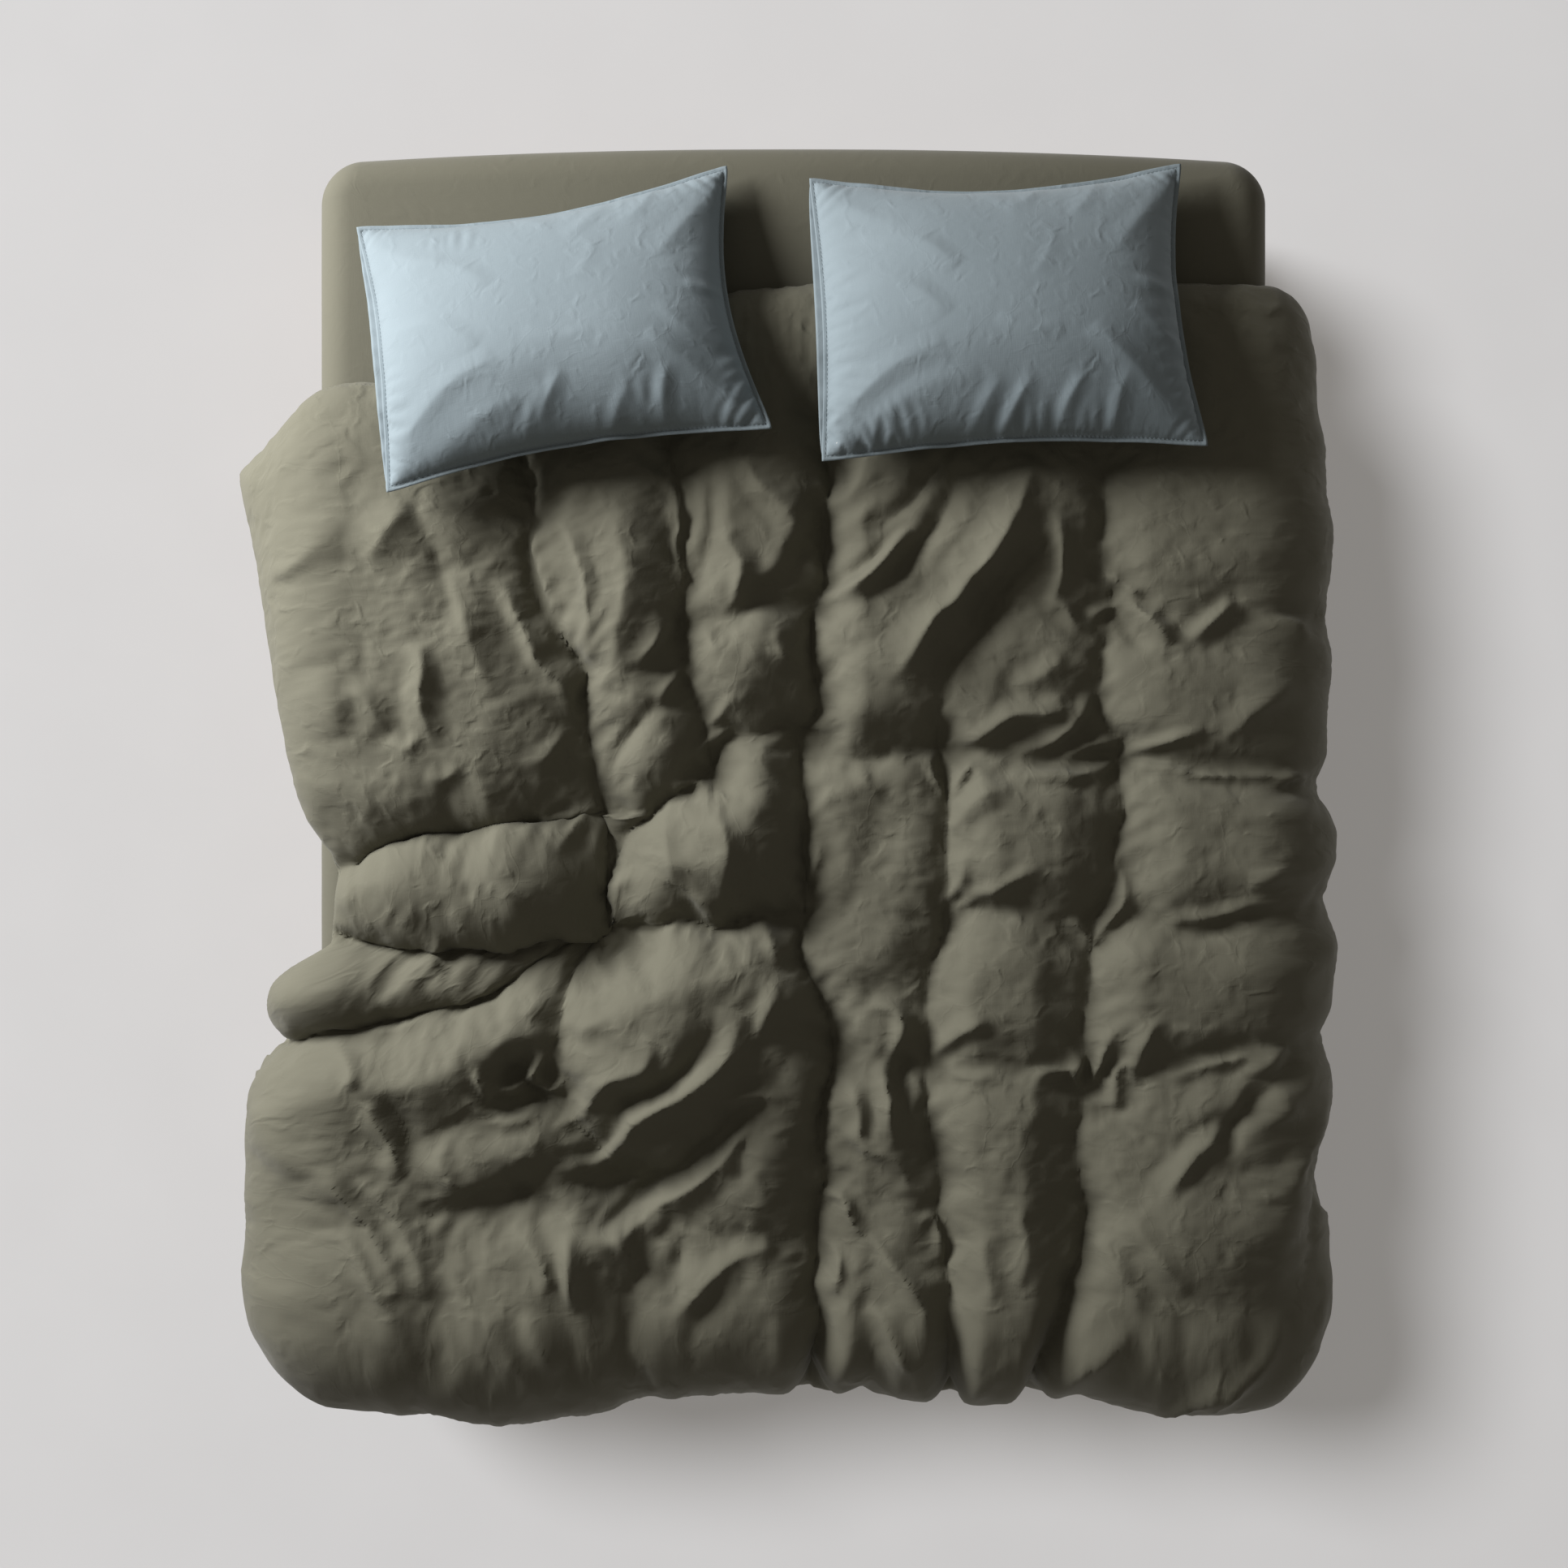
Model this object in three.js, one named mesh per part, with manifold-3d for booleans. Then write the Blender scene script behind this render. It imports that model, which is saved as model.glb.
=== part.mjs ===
// A made-up double bed: a down duvet in its cotton cover lies over a mattress and hangs over its left,
// right and foot edges, with two cased pillows at the head. Millimetres, +Z up, +Y towards the head,
// +X to the right of someone standing at the foot. The origin is on the floor, under the centre leg.
import * as THREE from "three";
import { mergeVertices } from "three/addons/utils/BufferGeometryUtils.js";
import Module from "manifold-3d";

const wasm = await Module();
wasm.setup();

// Driving dimensions.
const REST_GAP = 0.3; // pieces that touch keep this much air between them
const CLOTH = 2; // every cloth is modelled this thick
const MATTRESS = { width: 1600, length: 2000, height: 220, edge: 60, corner: 100, comfort: 50 };
const TICKING = 3; // thickness of the mattress's quilted cover
const BASE_INSET = 20; // the bed frame stands this far inside the mattress's edge
const RAIL = { height: 110, thickness: 25 };
const LEG = { height: 150, top: 62, foot: 46, inset: 70 };
const BEAM = { width: 50 };
const SLAT = { count: 9, width: 120, thickness: 18, end: 4 };
const HEM = { reach: 170, elastic: 12, thickness: 3 }; // how far the fitted sheet turns in under the mattress
const DUVET = {
  headLine: 750, // its head edge, from the bed's centre
  headDrop: 190, // how much lower that edge lies at the left corner
  rightDrop: 190, // flat cloth past the end of the right bend
  footDrop: 200, // flat cloth past the end of the foot bend
  leftHead: 67, // flat cloth past the end of the left bend at the head corner
  leftWaist: 45, // the same where the duvet draws back towards the mattress
  leftFoot: 130, // and at the foot
  columns: 5, // quilted columns on the flat top, between the two side bends
  boxes: 7, // quilted boxes from the foot bend to the head edge
  seam: 45, // filling height at a quilting seam
  crown: 85, // filling height in the middle of a box
  edge: 8, // filling height at the outer seam
  flange: 12, // how far the cover's seam stands out past the filling
};
const BEND_EASE = 6; // the duvet bends this much wider than the mattress's edge
const LAYER_GAP = 0.5; // air between the duvet's own layers, and across its fold line
const STIFF_BEND = THREE.MathUtils.degToRad(38); // how far the stiff head corner on the left bends down
const BUTTON = { count: 4, radius: 9, thickness: 3, pitch: 300, above: 26 };
const PILLOW = { halfWidth: 295, halfDepth: 225, belly: 78, rim: 5, concave: 0.05, grid: 6 };
const FLAP = { width: 34, thickness: 2 };
const MOUTH = 0.9; // the pillowcase's open share of its left side
const PILLOWS = [
  { side: "left", x: -380, y: 668, turn: 9.3, tilt: 8 },
  { side: "right", x: 342, y: 693, turn: 2.2, tilt: 7 },
];

// Heights that stack up from the floor.
const RAIL_BOTTOM = LEG.height + REST_GAP;
const RAIL_TOP = RAIL_BOTTOM + RAIL.height;
const SLAT_BOTTOM = RAIL_TOP + REST_GAP;
const BED_BOTTOM = SLAT_BOTTOM + SLAT.thickness + REST_GAP; // underside of the fitted sheet
const BED_TOP = BED_BOTTOM + MATTRESS.height; // top of the fitted sheet
const FRAME_WIDTH = MATTRESS.width - 2 * BASE_INSET;
const FRAME_LENGTH = MATTRESS.length - 2 * BASE_INSET;

// Where the duvet starts to bend over the mattress's edges, and how long each quarter bend is.
const BEND_X = MATTRESS.width / 2 - MATTRESS.edge;
const BEND_Y = MATTRESS.length / 2 - MATTRESS.edge;
const DUVET_BOTTOM = BED_TOP + REST_GAP;
const BEND_RADIUS = MATTRESS.edge + BEND_EASE;
const FILL_BOTTOM = CLOTH + LAYER_GAP;
const MEAN_RADIUS = BEND_RADIUS + FILL_BOTTOM + DUVET.seam / 2;
const BEND_LENGTH = (MEAN_RADIUS * Math.PI) / 2;
const FOOT_HEM = -BEND_Y - BEND_LENGTH - DUVET.footDrop;
const BEND_STEPS = 3;
const HANG_STEPS = 2;
const BOX_STEPS = 2;

const cotton = new THREE.MeshStandardMaterial({ color: 0x5f5b4c, roughness: 0.85, metalness: 0 });
const casing = new THREE.MeshStandardMaterial({ color: 0x7f929c, roughness: 0.85, metalness: 0 });
const down = new THREE.MeshStandardMaterial({ color: 0xe9e6de, roughness: 0.9, metalness: 0 });
const foam = new THREE.MeshStandardMaterial({ color: 0xe3dccb, roughness: 0.95, metalness: 0 });
const ticking = new THREE.MeshStandardMaterial({ color: 0xdcdad4, roughness: 0.9, metalness: 0 });
const elastic = new THREE.MeshStandardMaterial({ color: 0x4c493d, roughness: 0.8, metalness: 0 });
const oak = new THREE.MeshStandardMaterial({ color: 0xb08d62, roughness: 0.6, metalness: 0 });
const shell = new THREE.MeshStandardMaterial({ color: 0x4a4639, roughness: 0.4, metalness: 0 });

const bed = new THREE.Group();

function addMesh(parent, name, geometry, material) {
  const mesh = new THREE.Mesh(geometry, material);
  mesh.name = name;
  parent.add(mesh);
  return mesh;
}

// A closed geometry as a manifold-3d solid, and a solid back as a geometry.
function solidOf(geometry) {
  const bare = geometry.clone();
  bare.deleteAttribute("normal");
  bare.deleteAttribute("uv");
  const merged = mergeVertices(bare, 1e-3);
  return new wasm.Manifold(
    new wasm.Mesh({
      numProp: 3,
      vertProperties: merged.attributes.position.array,
      triVerts: new Uint32Array(merged.index.array),
    }),
  );
}

function geometryOf(solid) {
  const mesh = solid.getMesh();
  return new THREE.BufferGeometry()
    .setAttribute("position", new THREE.BufferAttribute(new Float32Array(mesh.vertProperties), 3))
    .setIndex(new THREE.BufferAttribute(new Uint32Array(mesh.triVerts), 1));
}

function block(width, length, height, x, y, bottom) {
  return new THREE.BoxGeometry(width, length, height).translate(x, y, bottom + height / 2);
}

// A flat outline with round corners, centred on the origin.
function roundedRectangle(width, length, radius) {
  const [x, y, r] = [width / 2, length / 2, radius];
  const outline = new THREE.Shape();
  outline.moveTo(x - r, -y);
  outline.absarc(x - r, -y + r, r, -Math.PI / 2, 0);
  outline.absarc(x - r, y - r, r, 0, Math.PI / 2);
  outline.absarc(-x + r, y - r, r, Math.PI / 2, Math.PI);
  outline.absarc(-x + r, -y + r, r, Math.PI, (Math.PI * 3) / 2);
  return outline;
}

// The mattress's rounded block, shrunk on all sides by inset.
function mattressBlock(inset) {
  const edge = MATTRESS.edge - inset;
  const outline = roundedRectangle(
    MATTRESS.width - 2 * MATTRESS.edge,
    MATTRESS.length - 2 * MATTRESS.edge,
    MATTRESS.corner - MATTRESS.edge,
  );
  return new THREE.ExtrudeGeometry(outline, {
    depth: MATTRESS.height - 2 * MATTRESS.edge,
    curveSegments: 3,
    bevelThickness: edge,
    bevelSize: edge,
    bevelSegments: BEND_STEPS,
  }).translate(0, 0, BED_BOTTOM + MATTRESS.edge);
}

// A straight-sided cut through the underside of the mattress's covers, leaving a border of that width.
function undersideCut(border, height) {
  const width = MATTRESS.width - 2 * border;
  const length = MATTRESS.length - 2 * border;
  return block(width, length, height, 0, 0, BED_BOTTOM - height / 2);
}

function addMattress() {
  const coreInset = CLOTH + REST_GAP + TICKING + REST_GAP;
  const sheetHollow = solidOf(mattressBlock(CLOTH));
  const sheet = solidOf(mattressBlock(0)).subtract(sheetHollow);
  const opened = sheet.subtract(solidOf(undersideCut(HEM.reach, 2 * MATTRESS.edge)));
  addMesh(bed, "fitted_sheet", geometryOf(opened), cotton);

  const cover = solidOf(mattressBlock(CLOTH + REST_GAP)).subtract(solidOf(mattressBlock(coreInset - REST_GAP)));
  const zipBorder = HEM.reach + 60;
  const skin = cover.subtract(solidOf(undersideCut(zipBorder, 2 * MATTRESS.edge)));
  addMesh(bed, "mattress_ticking", geometryOf(skin), ticking);
  const panelBorder = zipBorder + REST_GAP;
  const panel = cover.intersect(solidOf(undersideCut(panelBorder, 2 * MATTRESS.edge)));
  addMesh(bed, "mattress_base_panel", geometryOf(panel), ticking);

  const filling = solidOf(mattressBlock(coreInset));
  const parting = BED_TOP - coreInset - MATTRESS.comfort;
  const above = block(2 * MATTRESS.width, 2 * MATTRESS.length, MATTRESS.height, 0, 0, parting);
  const below = block(2 * MATTRESS.width, 2 * MATTRESS.length, MATTRESS.height, 0, 0, 0)
    .translate(0, 0, parting - REST_GAP - MATTRESS.height);
  addMesh(bed, "mattress_comfort_layer", geometryOf(filling.intersect(solidOf(above))), foam);
  addMesh(bed, "mattress_core", geometryOf(filling.intersect(solidOf(below))), foam);

  // The elastic lies in the fitted sheet's opening, against the mattress's underside.
  const elasticBorder = HEM.reach + REST_GAP;
  const bandTop = BED_BOTTOM + CLOTH;
  const outer = { width: MATTRESS.width - 2 * elasticBorder, length: MATTRESS.length - 2 * elasticBorder };
  const band = block(outer.width, outer.length, CLOTH, 0, 0, bandTop - CLOTH);
  const hole = block(
    outer.width - 2 * HEM.elastic,
    outer.length - 2 * HEM.elastic,
    2 * HEM.thickness,
    0,
    0,
    bandTop - 2 * CLOTH,
  );
  addMesh(bed, "fitted_sheet_elastic", geometryOf(solidOf(band).subtract(solidOf(hole))), elastic);
}

// A leg that tapers towards the floor.
function legGeometry(x, y) {
  const taper = new THREE.CylinderGeometry(LEG.top / Math.SQRT2, LEG.foot / Math.SQRT2, LEG.height, 4)
    .rotateY(Math.PI / 4)
    .rotateX(Math.PI / 2);
  return taper.translate(x, y, LEG.height / 2);
}

function addBedFrame() {
  const sideX = FRAME_WIDTH / 2 - RAIL.thickness / 2;
  const endY = FRAME_LENGTH / 2 - RAIL.thickness / 2;
  const endWidth = FRAME_WIDTH - 2 * RAIL.thickness - 2 * REST_GAP;
  const beamLength = FRAME_LENGTH - 2 * RAIL.thickness - 2 * REST_GAP;
  for (const [name, sign] of [["left", -1], ["right", 1]]) {
    const rail = block(RAIL.thickness, FRAME_LENGTH, RAIL.height, sign * sideX, 0, RAIL_BOTTOM);
    addMesh(bed, `side_rail_${name}`, rail, oak);
  }
  for (const [name, sign] of [["foot", -1], ["head", 1]]) {
    const rail = block(endWidth, RAIL.thickness, RAIL.height, 0, sign * endY, RAIL_BOTTOM);
    addMesh(bed, `${name}_rail`, rail, oak);
  }
  addMesh(bed, "centre_beam", block(BEAM.width, beamLength, RAIL.height, 0, 0, RAIL_BOTTOM), oak);

  const legX = FRAME_WIDTH / 2 - LEG.top / 2;
  const legY = FRAME_LENGTH / 2 - LEG.inset;
  addMesh(bed, "leg_centre", legGeometry(0, 0), oak);
  for (const [end, signY] of [["foot", -1], ["head", 1]])
    for (const [side, signX] of [["left", -1], ["right", 1]])
      addMesh(bed, `leg_${end}_${side}`, legGeometry(signX * legX, signY * legY), oak);

  const slatWidth = FRAME_WIDTH - 2 * SLAT.end;
  const pitch = (FRAME_LENGTH - SLAT.width) / (SLAT.count - 1);
  for (let i = 0; i < SLAT.count; i++) {
    const y = -(FRAME_LENGTH - SLAT.width) / 2 + i * pitch;
    const slat = block(slatWidth, SLAT.width, SLAT.thickness, 0, y, SLAT_BOTTOM);
    addMesh(bed, `slat_${i + 1}`, slat, oak);
  }
}

// The duvet's flat cloth past the end of the left bend, at a distance t along the bed: wide at the head
// corner, drawn back at the waist and long at the foot.
function leftDrop(t) {
  const waist = -0.16 * BEND_Y;
  const towardsHead = THREE.MathUtils.smoothstep(t, waist, 0.62 * BEND_Y);
  const towardsFoot = THREE.MathUtils.smoothstep(-t, -waist, 0.72 * BEND_Y);
  return (
    DUVET.leftWaist +
    towardsHead * (DUVET.leftHead - DUVET.leftWaist) +
    towardsFoot * (DUVET.leftFoot - DUVET.leftWaist)
  );
}

// The head edge runs straight across the right half and slants down towards the left corner.
function headEdge(s) {
  return DUVET.headLine - DUVET.headDrop * THREE.MathUtils.smoothstep(-s, 0, BEND_X);
}

// The place of a point of flat cloth (s across, t along) at a height over the duvet's underside: flat on
// top, bent down round the edge, then straight. A stiff stretch on the left bends less than a quarter turn.
function drape(s, t, height) {
  const edgeX = THREE.MathUtils.clamp(s, -BEND_X, BEND_X);
  const edgeY = Math.max(t, -BEND_Y);
  const past = Math.hypot(s - edgeX, t - edgeY);
  if (past === 0) return new THREE.Vector3(s, t, DUVET_BOTTOM + height);
  const stiff = s < -BEND_X ? THREE.MathUtils.smoothstep(t, -0.55 * BEND_Y, 0.1 * BEND_Y) : 0;
  const furthest = THREE.MathUtils.lerp(Math.PI / 2, STIFF_BEND, stiff);
  const angle = Math.min(past / MEAN_RADIUS, furthest);
  const straight = past - angle * MEAN_RADIUS;
  const radius = BEND_RADIUS + height;
  const out = radius * Math.sin(angle) + straight * Math.cos(angle);
  const down = radius * (1 - Math.cos(angle)) + straight * Math.sin(angle);
  const x = edgeX + ((s - edgeX) / past) * out;
  const y = edgeY + ((t - edgeY) / past) * out;
  return new THREE.Vector3(x, y, DUVET_BOTTOM + height - down);
}

// Stretches of the duvet, each a run of levels between two quilting seams: where(k, other) is the flat
// position of level k, and the filling swells from seam to seam.
function evenLevels(steps) {
  return Array.from({ length: steps + 1 }, (_, k) => k / steps);
}

// The columns across the duvet at a distance t along it, from the left hem to the right hem.
function columnEdges(t) {
  const top = evenLevels(DUVET.columns).map((k) => THREE.MathUtils.lerp(-BEND_X, BEND_X, k));
  const bendEnd = BEND_X + BEND_LENGTH;
  return [-bendEnd - leftDrop(t), -bendEnd, ...top, bendEnd, bendEnd + DUVET.rightDrop];
}
const COLUMN_STEPS = [
  HANG_STEPS,
  BEND_STEPS,
  ...Array(DUVET.columns).fill(BOX_STEPS),
  BEND_STEPS,
  HANG_STEPS,
];
const COLUMNS = COLUMN_STEPS.length;

// The rows of the main duvet run from the fold line at the foot bend to the head edge; those of the
// foot end run from the foot hem to the fold line.
const MAIN = {
  body: "",
  steps: Array(DUVET.boxes).fill(BOX_STEPS),
  lowSeam: false,
  highSeam: true,
  edges: (s) =>
    evenLevels(DUVET.boxes).map((k) => THREE.MathUtils.lerp(-BEND_Y + LAYER_GAP / 2, headEdge(s), k)),
};
const FOOT = {
  body: "_foot",
  steps: [HANG_STEPS, BEND_STEPS],
  lowSeam: true,
  highSeam: false,
  edges: () => [FOOT_HEM, -BEND_Y - BEND_LENGTH, -BEND_Y - LAYER_GAP / 2],
};

// A point of the duvet: column and row count its stretches, a and b run from 0 to 1 within them, and
// lift gives the height from the filling's swell. shift moves the point across and along the flat cloth.
function duvetPoint(part, column, a, row, b, height, shift = [0, 0]) {
  const nominal = THREE.MathUtils.lerp(-BEND_X, BEND_X, (column + a) / COLUMNS);
  const rows = part.edges(nominal);
  const t = THREE.MathUtils.lerp(rows[row], rows[row + 1], b);
  const columns = columnEdges(t);
  const s = THREE.MathUtils.lerp(columns[column], columns[column + 1], a);
  return drape(s + shift[0], t + shift[1], height);
}

function swell(part, column, a, row, b) {
  const last = part.steps.length - 1;
  const onHem =
    (column === 0 && a === 0) ||
    (column === COLUMNS - 1 && a === 1) ||
    (part.lowSeam && row === 0 && b === 0) ||
    (part.highSeam && row === last && b === 1);
  if (onHem) return DUVET.edge;
  return DUVET.seam + (DUVET.crown - DUVET.seam) * Math.sin(Math.PI * a) * Math.sin(Math.PI * b);
}

// Every level of a list of stretches: [stretch, fraction], with shared ends taken once.
function levelsOf(steps) {
  const levels = [[0, 0]];
  steps.forEach((count, stretch) => {
    for (let k = 1; k <= count; k++) levels.push([stretch, k / count]);
  });
  return levels;
}

// A closed slab between two grids of points of the same size. Opposite walls have matching diagonals, so
// that neighbouring slabs fit.
function slab(low, high) {
  const [columns, rows] = [low.length, low[0].length];
  const at = (grid, i, j) => (grid * columns + i) * rows + j;
  const positions = [low, high].flat(2).flatMap((p) => p.toArray());
  const faces = [];
  const quad = (a, b, c, d) => faces.push(a, b, c, a, c, d);
  for (let i = 0; i + 1 < columns; i++)
    for (let j = 0; j + 1 < rows; j++) {
      quad(at(1, i, j), at(1, i + 1, j), at(1, i + 1, j + 1), at(1, i, j + 1));
      faces.push(at(0, i, j), at(0, i + 1, j + 1), at(0, i + 1, j));
      faces.push(at(0, i, j), at(0, i, j + 1), at(0, i + 1, j + 1));
    }
  for (let i = 0; i + 1 < columns; i++) {
    quad(at(0, i, 0), at(0, i + 1, 0), at(1, i + 1, 0), at(1, i, 0));
    quad(at(0, i, rows - 1), at(1, i, rows - 1), at(1, i + 1, rows - 1), at(0, i + 1, rows - 1));
  }
  for (let j = 0; j + 1 < rows; j++) {
    quad(at(0, 0, j + 1), at(0, 0, j), at(1, 0, j), at(1, 0, j + 1));
    quad(at(0, columns - 1, j + 1), at(1, columns - 1, j + 1), at(1, columns - 1, j), at(0, columns - 1, j));
  }
  return new THREE.BufferGeometry()
    .setAttribute("position", new THREE.Float32BufferAttribute(positions, 3))
    .setIndex(faces);
}

// One quilted column of down, a closed slab with a swell in each box.
function downChannel(part, column) {
  const rows = levelsOf(part.steps);
  const across = evenLevels(COLUMN_STEPS[column]);
  const grid = (rise) =>
    across.map((a) =>
      rows.map(([row, b]) => {
        const inward = a === 0 ? LAYER_GAP / 2 : a === 1 ? -LAYER_GAP / 2 : 0;
        const height = FILL_BOTTOM + (rise ? swell(part, column, a, row, b) : 0);
        return duvetPoint(part, column, a, row, b, height, [inward, 0]);
      }),
    );
  return slab(grid(false), grid(true));
}

// A cover panel follows the filling and stands out past it in a flat seam on the duvet's own hems.
function coverPanel(part, overFilling) {
  const columns = levelsOf(COLUMN_STEPS);
  const rows = levelsOf(part.steps);
  const reach = DUVET.flange;
  const across = [[columns[0], -reach], ...columns.map((c) => [c, 0]), [columns.at(-1), reach]];
  const along = rows.map((r) => [r, 0]);
  if (part.lowSeam) along.unshift([rows[0], -reach]);
  if (part.highSeam) along.push([rows.at(-1), reach]);
  const grid = (extra) =>
    across.map(([[column, a], shiftS]) =>
      along.map(([[row, b], shiftT]) => {
        const onFlange = shiftS !== 0 || shiftT !== 0;
        const filling = onFlange ? 0 : swell(part, column, a, row, b) + LAYER_GAP;
        const height = (overFilling ? FILL_BOTTOM + filling : 0) + extra;
        return duvetPoint(part, column, a, row, b, height, [shiftS, shiftT]);
      }),
    );
  return slab(grid(0), grid(CLOTH));
}

function addDuvet() {
  for (const part of [MAIN, FOOT]) {
    addMesh(bed, `duvet_cover_top${part.body}`, coverPanel(part, true), cotton);
    addMesh(bed, `duvet_cover_under${part.body}`, coverPanel(part, false), cotton);
    for (let column = 0; column < COLUMNS; column++)
      addMesh(bed, `down_channel${part.body}_${column + 1}`, downChannel(part, column), down);
  }
  // The buttons sit on the inside of the hanging foot hem, where the cover opens.
  const hem = drape(0, FOOT_HEM, 0);
  for (let i = 0; i < BUTTON.count; i++) {
    const x = (i - (BUTTON.count - 1) / 2) * BUTTON.pitch;
    const y = hem.y + REST_GAP + BUTTON.thickness / 2;
    const button = new THREE.CylinderGeometry(BUTTON.radius, BUTTON.radius, BUTTON.thickness, 16);
    addMesh(bed, `cover_button_${i + 1}`, button.translate(x, y, hem.z + BUTTON.above), shell);
  }
}

// A pillow's full form, grown on all sides: its sides are pulled in between the corners, and its two
// faces swell towards the middle from a rim.
function pillowForm(grow) {
  const levels = evenLevels(PILLOW.grid).map((k) => 2 * k - 1);
  const face = (sign) =>
    levels.map((u) =>
      levels.map((v) => {
        const x = u * (PILLOW.halfWidth + grow) * (1 - PILLOW.concave * (1 - v * v));
        const y = v * (PILLOW.halfDepth + grow) * (1 - PILLOW.concave * (1 - u * u));
        const swelling = PILLOW.belly * Math.pow((1 - u * u) * (1 - v * v), 0.62);
        return new THREE.Vector3(x, y, sign * (PILLOW.rim + grow + swelling));
      }),
    );
  return slab(face(-1), face(1));
}

// The case is a skin round the pillow, open along its left side, where the closing flap comes out.
function pillowcaseGeometry() {
  const mouth = block(2 * FLAP.width, 2 * MOUTH * PILLOW.halfDepth, 2 * PILLOW.rim, 0, 0, -PILLOW.rim);
  const skin = solidOf(pillowForm(REST_GAP + CLOTH)).subtract(solidOf(pillowForm(REST_GAP)));
  return geometryOf(skin.subtract(solidOf(mouth.translate(-PILLOW.halfWidth, 0, 0))));
}

// The flap follows the pillow's left side and stands out through the mouth.
function flapGeometry() {
  const face = (z) =>
    [1, 0].map((out) =>
      evenLevels(PILLOW.grid).map((k) => {
        const v = (2 * k - 1) * (MOUTH - REST_GAP / PILLOW.halfDepth);
        const side = PILLOW.halfWidth * (1 - PILLOW.concave * (1 - v * v)) + 2 * REST_GAP;
        return new THREE.Vector3(-side - out * FLAP.width, v * PILLOW.halfDepth, z);
      }),
    );
  return slab(face(-FLAP.thickness / 2), face(FLAP.thickness / 2));
}

// Lowers a group by its own gap to what lies below, again and again, until it rests on it.
function lowerOnto(group, resting, supports) {
  group.updateMatrixWorld(true);
  let falling = solidOf(resting.geometry.clone().applyMatrix4(resting.matrixWorld));
  const reach = 400;
  for (let pass = 0; pass < 60; pass++) {
    const gap = Math.min(...supports.map((support) => falling.minGap(support, reach)));
    if (gap <= REST_GAP * 1.3) return;
    falling = falling.translate([0, 0, REST_GAP - gap]);
    group.position.z += REST_GAP - gap;
  }
}

function addPillows() {
  const supports = ["duvet_cover_top", "fitted_sheet"].map((name) =>
    solidOf(bed.getObjectByName(name).geometry),
  );
  for (const { side, x, y, turn, tilt } of PILLOWS) {
    const pillow = new THREE.Group();
    pillow.position.set(x, y, BED_TOP + 2 * (DUVET.crown + PILLOW.belly));
    pillow.rotation.set(
      -THREE.MathUtils.degToRad(tilt),
      0,
      THREE.MathUtils.degToRad(turn),
      "ZXY",
    );
    addMesh(pillow, `${side}_pillow`, pillowForm(0), down);
    const pillowcase = addMesh(pillow, `${side}_pillowcase`, pillowcaseGeometry(), casing);
    addMesh(pillow, `${side}_pillowcase_flap`, flapGeometry(), casing);
    bed.add(pillow);
    lowerOnto(pillow, pillowcase, supports);
  }
}

addBedFrame();
addMattress();
addDuvet();
addPillows();

export default bed;
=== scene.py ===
"""A made-up double bed: a puffy duvet in a washed cotton cover over a mattress, with two cased pillows.

Metres, +Z up, +Y towards the head, +X to the right of someone who stands at the foot.
"""

import logging
import math
from dataclasses import dataclass, field
from enum import Enum

import bmesh
import bpy
import numpy as np
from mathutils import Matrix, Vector

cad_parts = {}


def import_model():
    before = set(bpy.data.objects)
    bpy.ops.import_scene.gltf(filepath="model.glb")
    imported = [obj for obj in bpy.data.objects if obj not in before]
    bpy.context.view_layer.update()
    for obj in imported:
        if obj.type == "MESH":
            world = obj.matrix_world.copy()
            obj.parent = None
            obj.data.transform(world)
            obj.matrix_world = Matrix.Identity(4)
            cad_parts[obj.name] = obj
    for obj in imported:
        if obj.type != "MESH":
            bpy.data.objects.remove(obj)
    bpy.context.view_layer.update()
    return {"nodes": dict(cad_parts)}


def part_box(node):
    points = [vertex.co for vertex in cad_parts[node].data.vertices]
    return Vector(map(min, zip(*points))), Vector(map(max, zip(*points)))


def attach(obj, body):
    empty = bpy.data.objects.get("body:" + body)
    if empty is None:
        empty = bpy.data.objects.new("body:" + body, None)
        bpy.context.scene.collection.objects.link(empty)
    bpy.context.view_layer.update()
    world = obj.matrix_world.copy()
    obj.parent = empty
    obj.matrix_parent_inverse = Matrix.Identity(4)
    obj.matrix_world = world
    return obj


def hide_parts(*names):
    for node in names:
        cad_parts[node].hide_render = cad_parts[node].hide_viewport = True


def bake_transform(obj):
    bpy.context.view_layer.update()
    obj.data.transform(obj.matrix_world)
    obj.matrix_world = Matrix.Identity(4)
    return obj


log = logging.getLogger("bed")

Array = np.ndarray
Sockets = dict[str, object]

# --- Curves and grids ---


def smooth(x: Array, low: float, high: float) -> Array:
    """Rises from 0 at low to 1 at high on a cubic that is level at both ends."""
    t = np.clip((x - low) / (high - low), 0, 1)
    return t * t * (3 - 2 * t)


def dome(x: Array) -> Array:
    """A quarter circle: 0 and upright at x = 0, 1 and level from x = 1 on."""
    return np.sqrt(np.clip(1 - (1 - np.clip(x, 0, 1)) ** 2, 0, 1))


def unit(v: Array) -> Array:
    """Each row of v divided by its length."""
    return v / (np.linalg.norm(v, axis=-1, keepdims=True) + 1e-12)


def curve_through(points: list[tuple[float, float]], steps: int = 12) -> Array:
    """A Catmull-Rom curve through the points.

    Args:
        points: the corners, in order.
        steps: how many points each stretch gets.

    Returns:
        The curve's points, one per row.
    """
    p = np.array(points, float)
    ends = np.vstack([2 * p[0] - p[1], p, 2 * p[-1] - p[-2]])
    a, b, c, d = (ends[k : len(ends) - 3 + k, None, :] for k in range(4))
    t = np.linspace(0, 1, steps, endpoint=False)[None, :, None]
    bent = 0.5 * (2 * b + (c - a) * t + (2 * a - 5 * b + 4 * c - d) * t**2 + (3 * b - a - 3 * c + d) * t**3)
    return np.vstack([bent.reshape(-1, p.shape[1]), p[-1:]])


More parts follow.
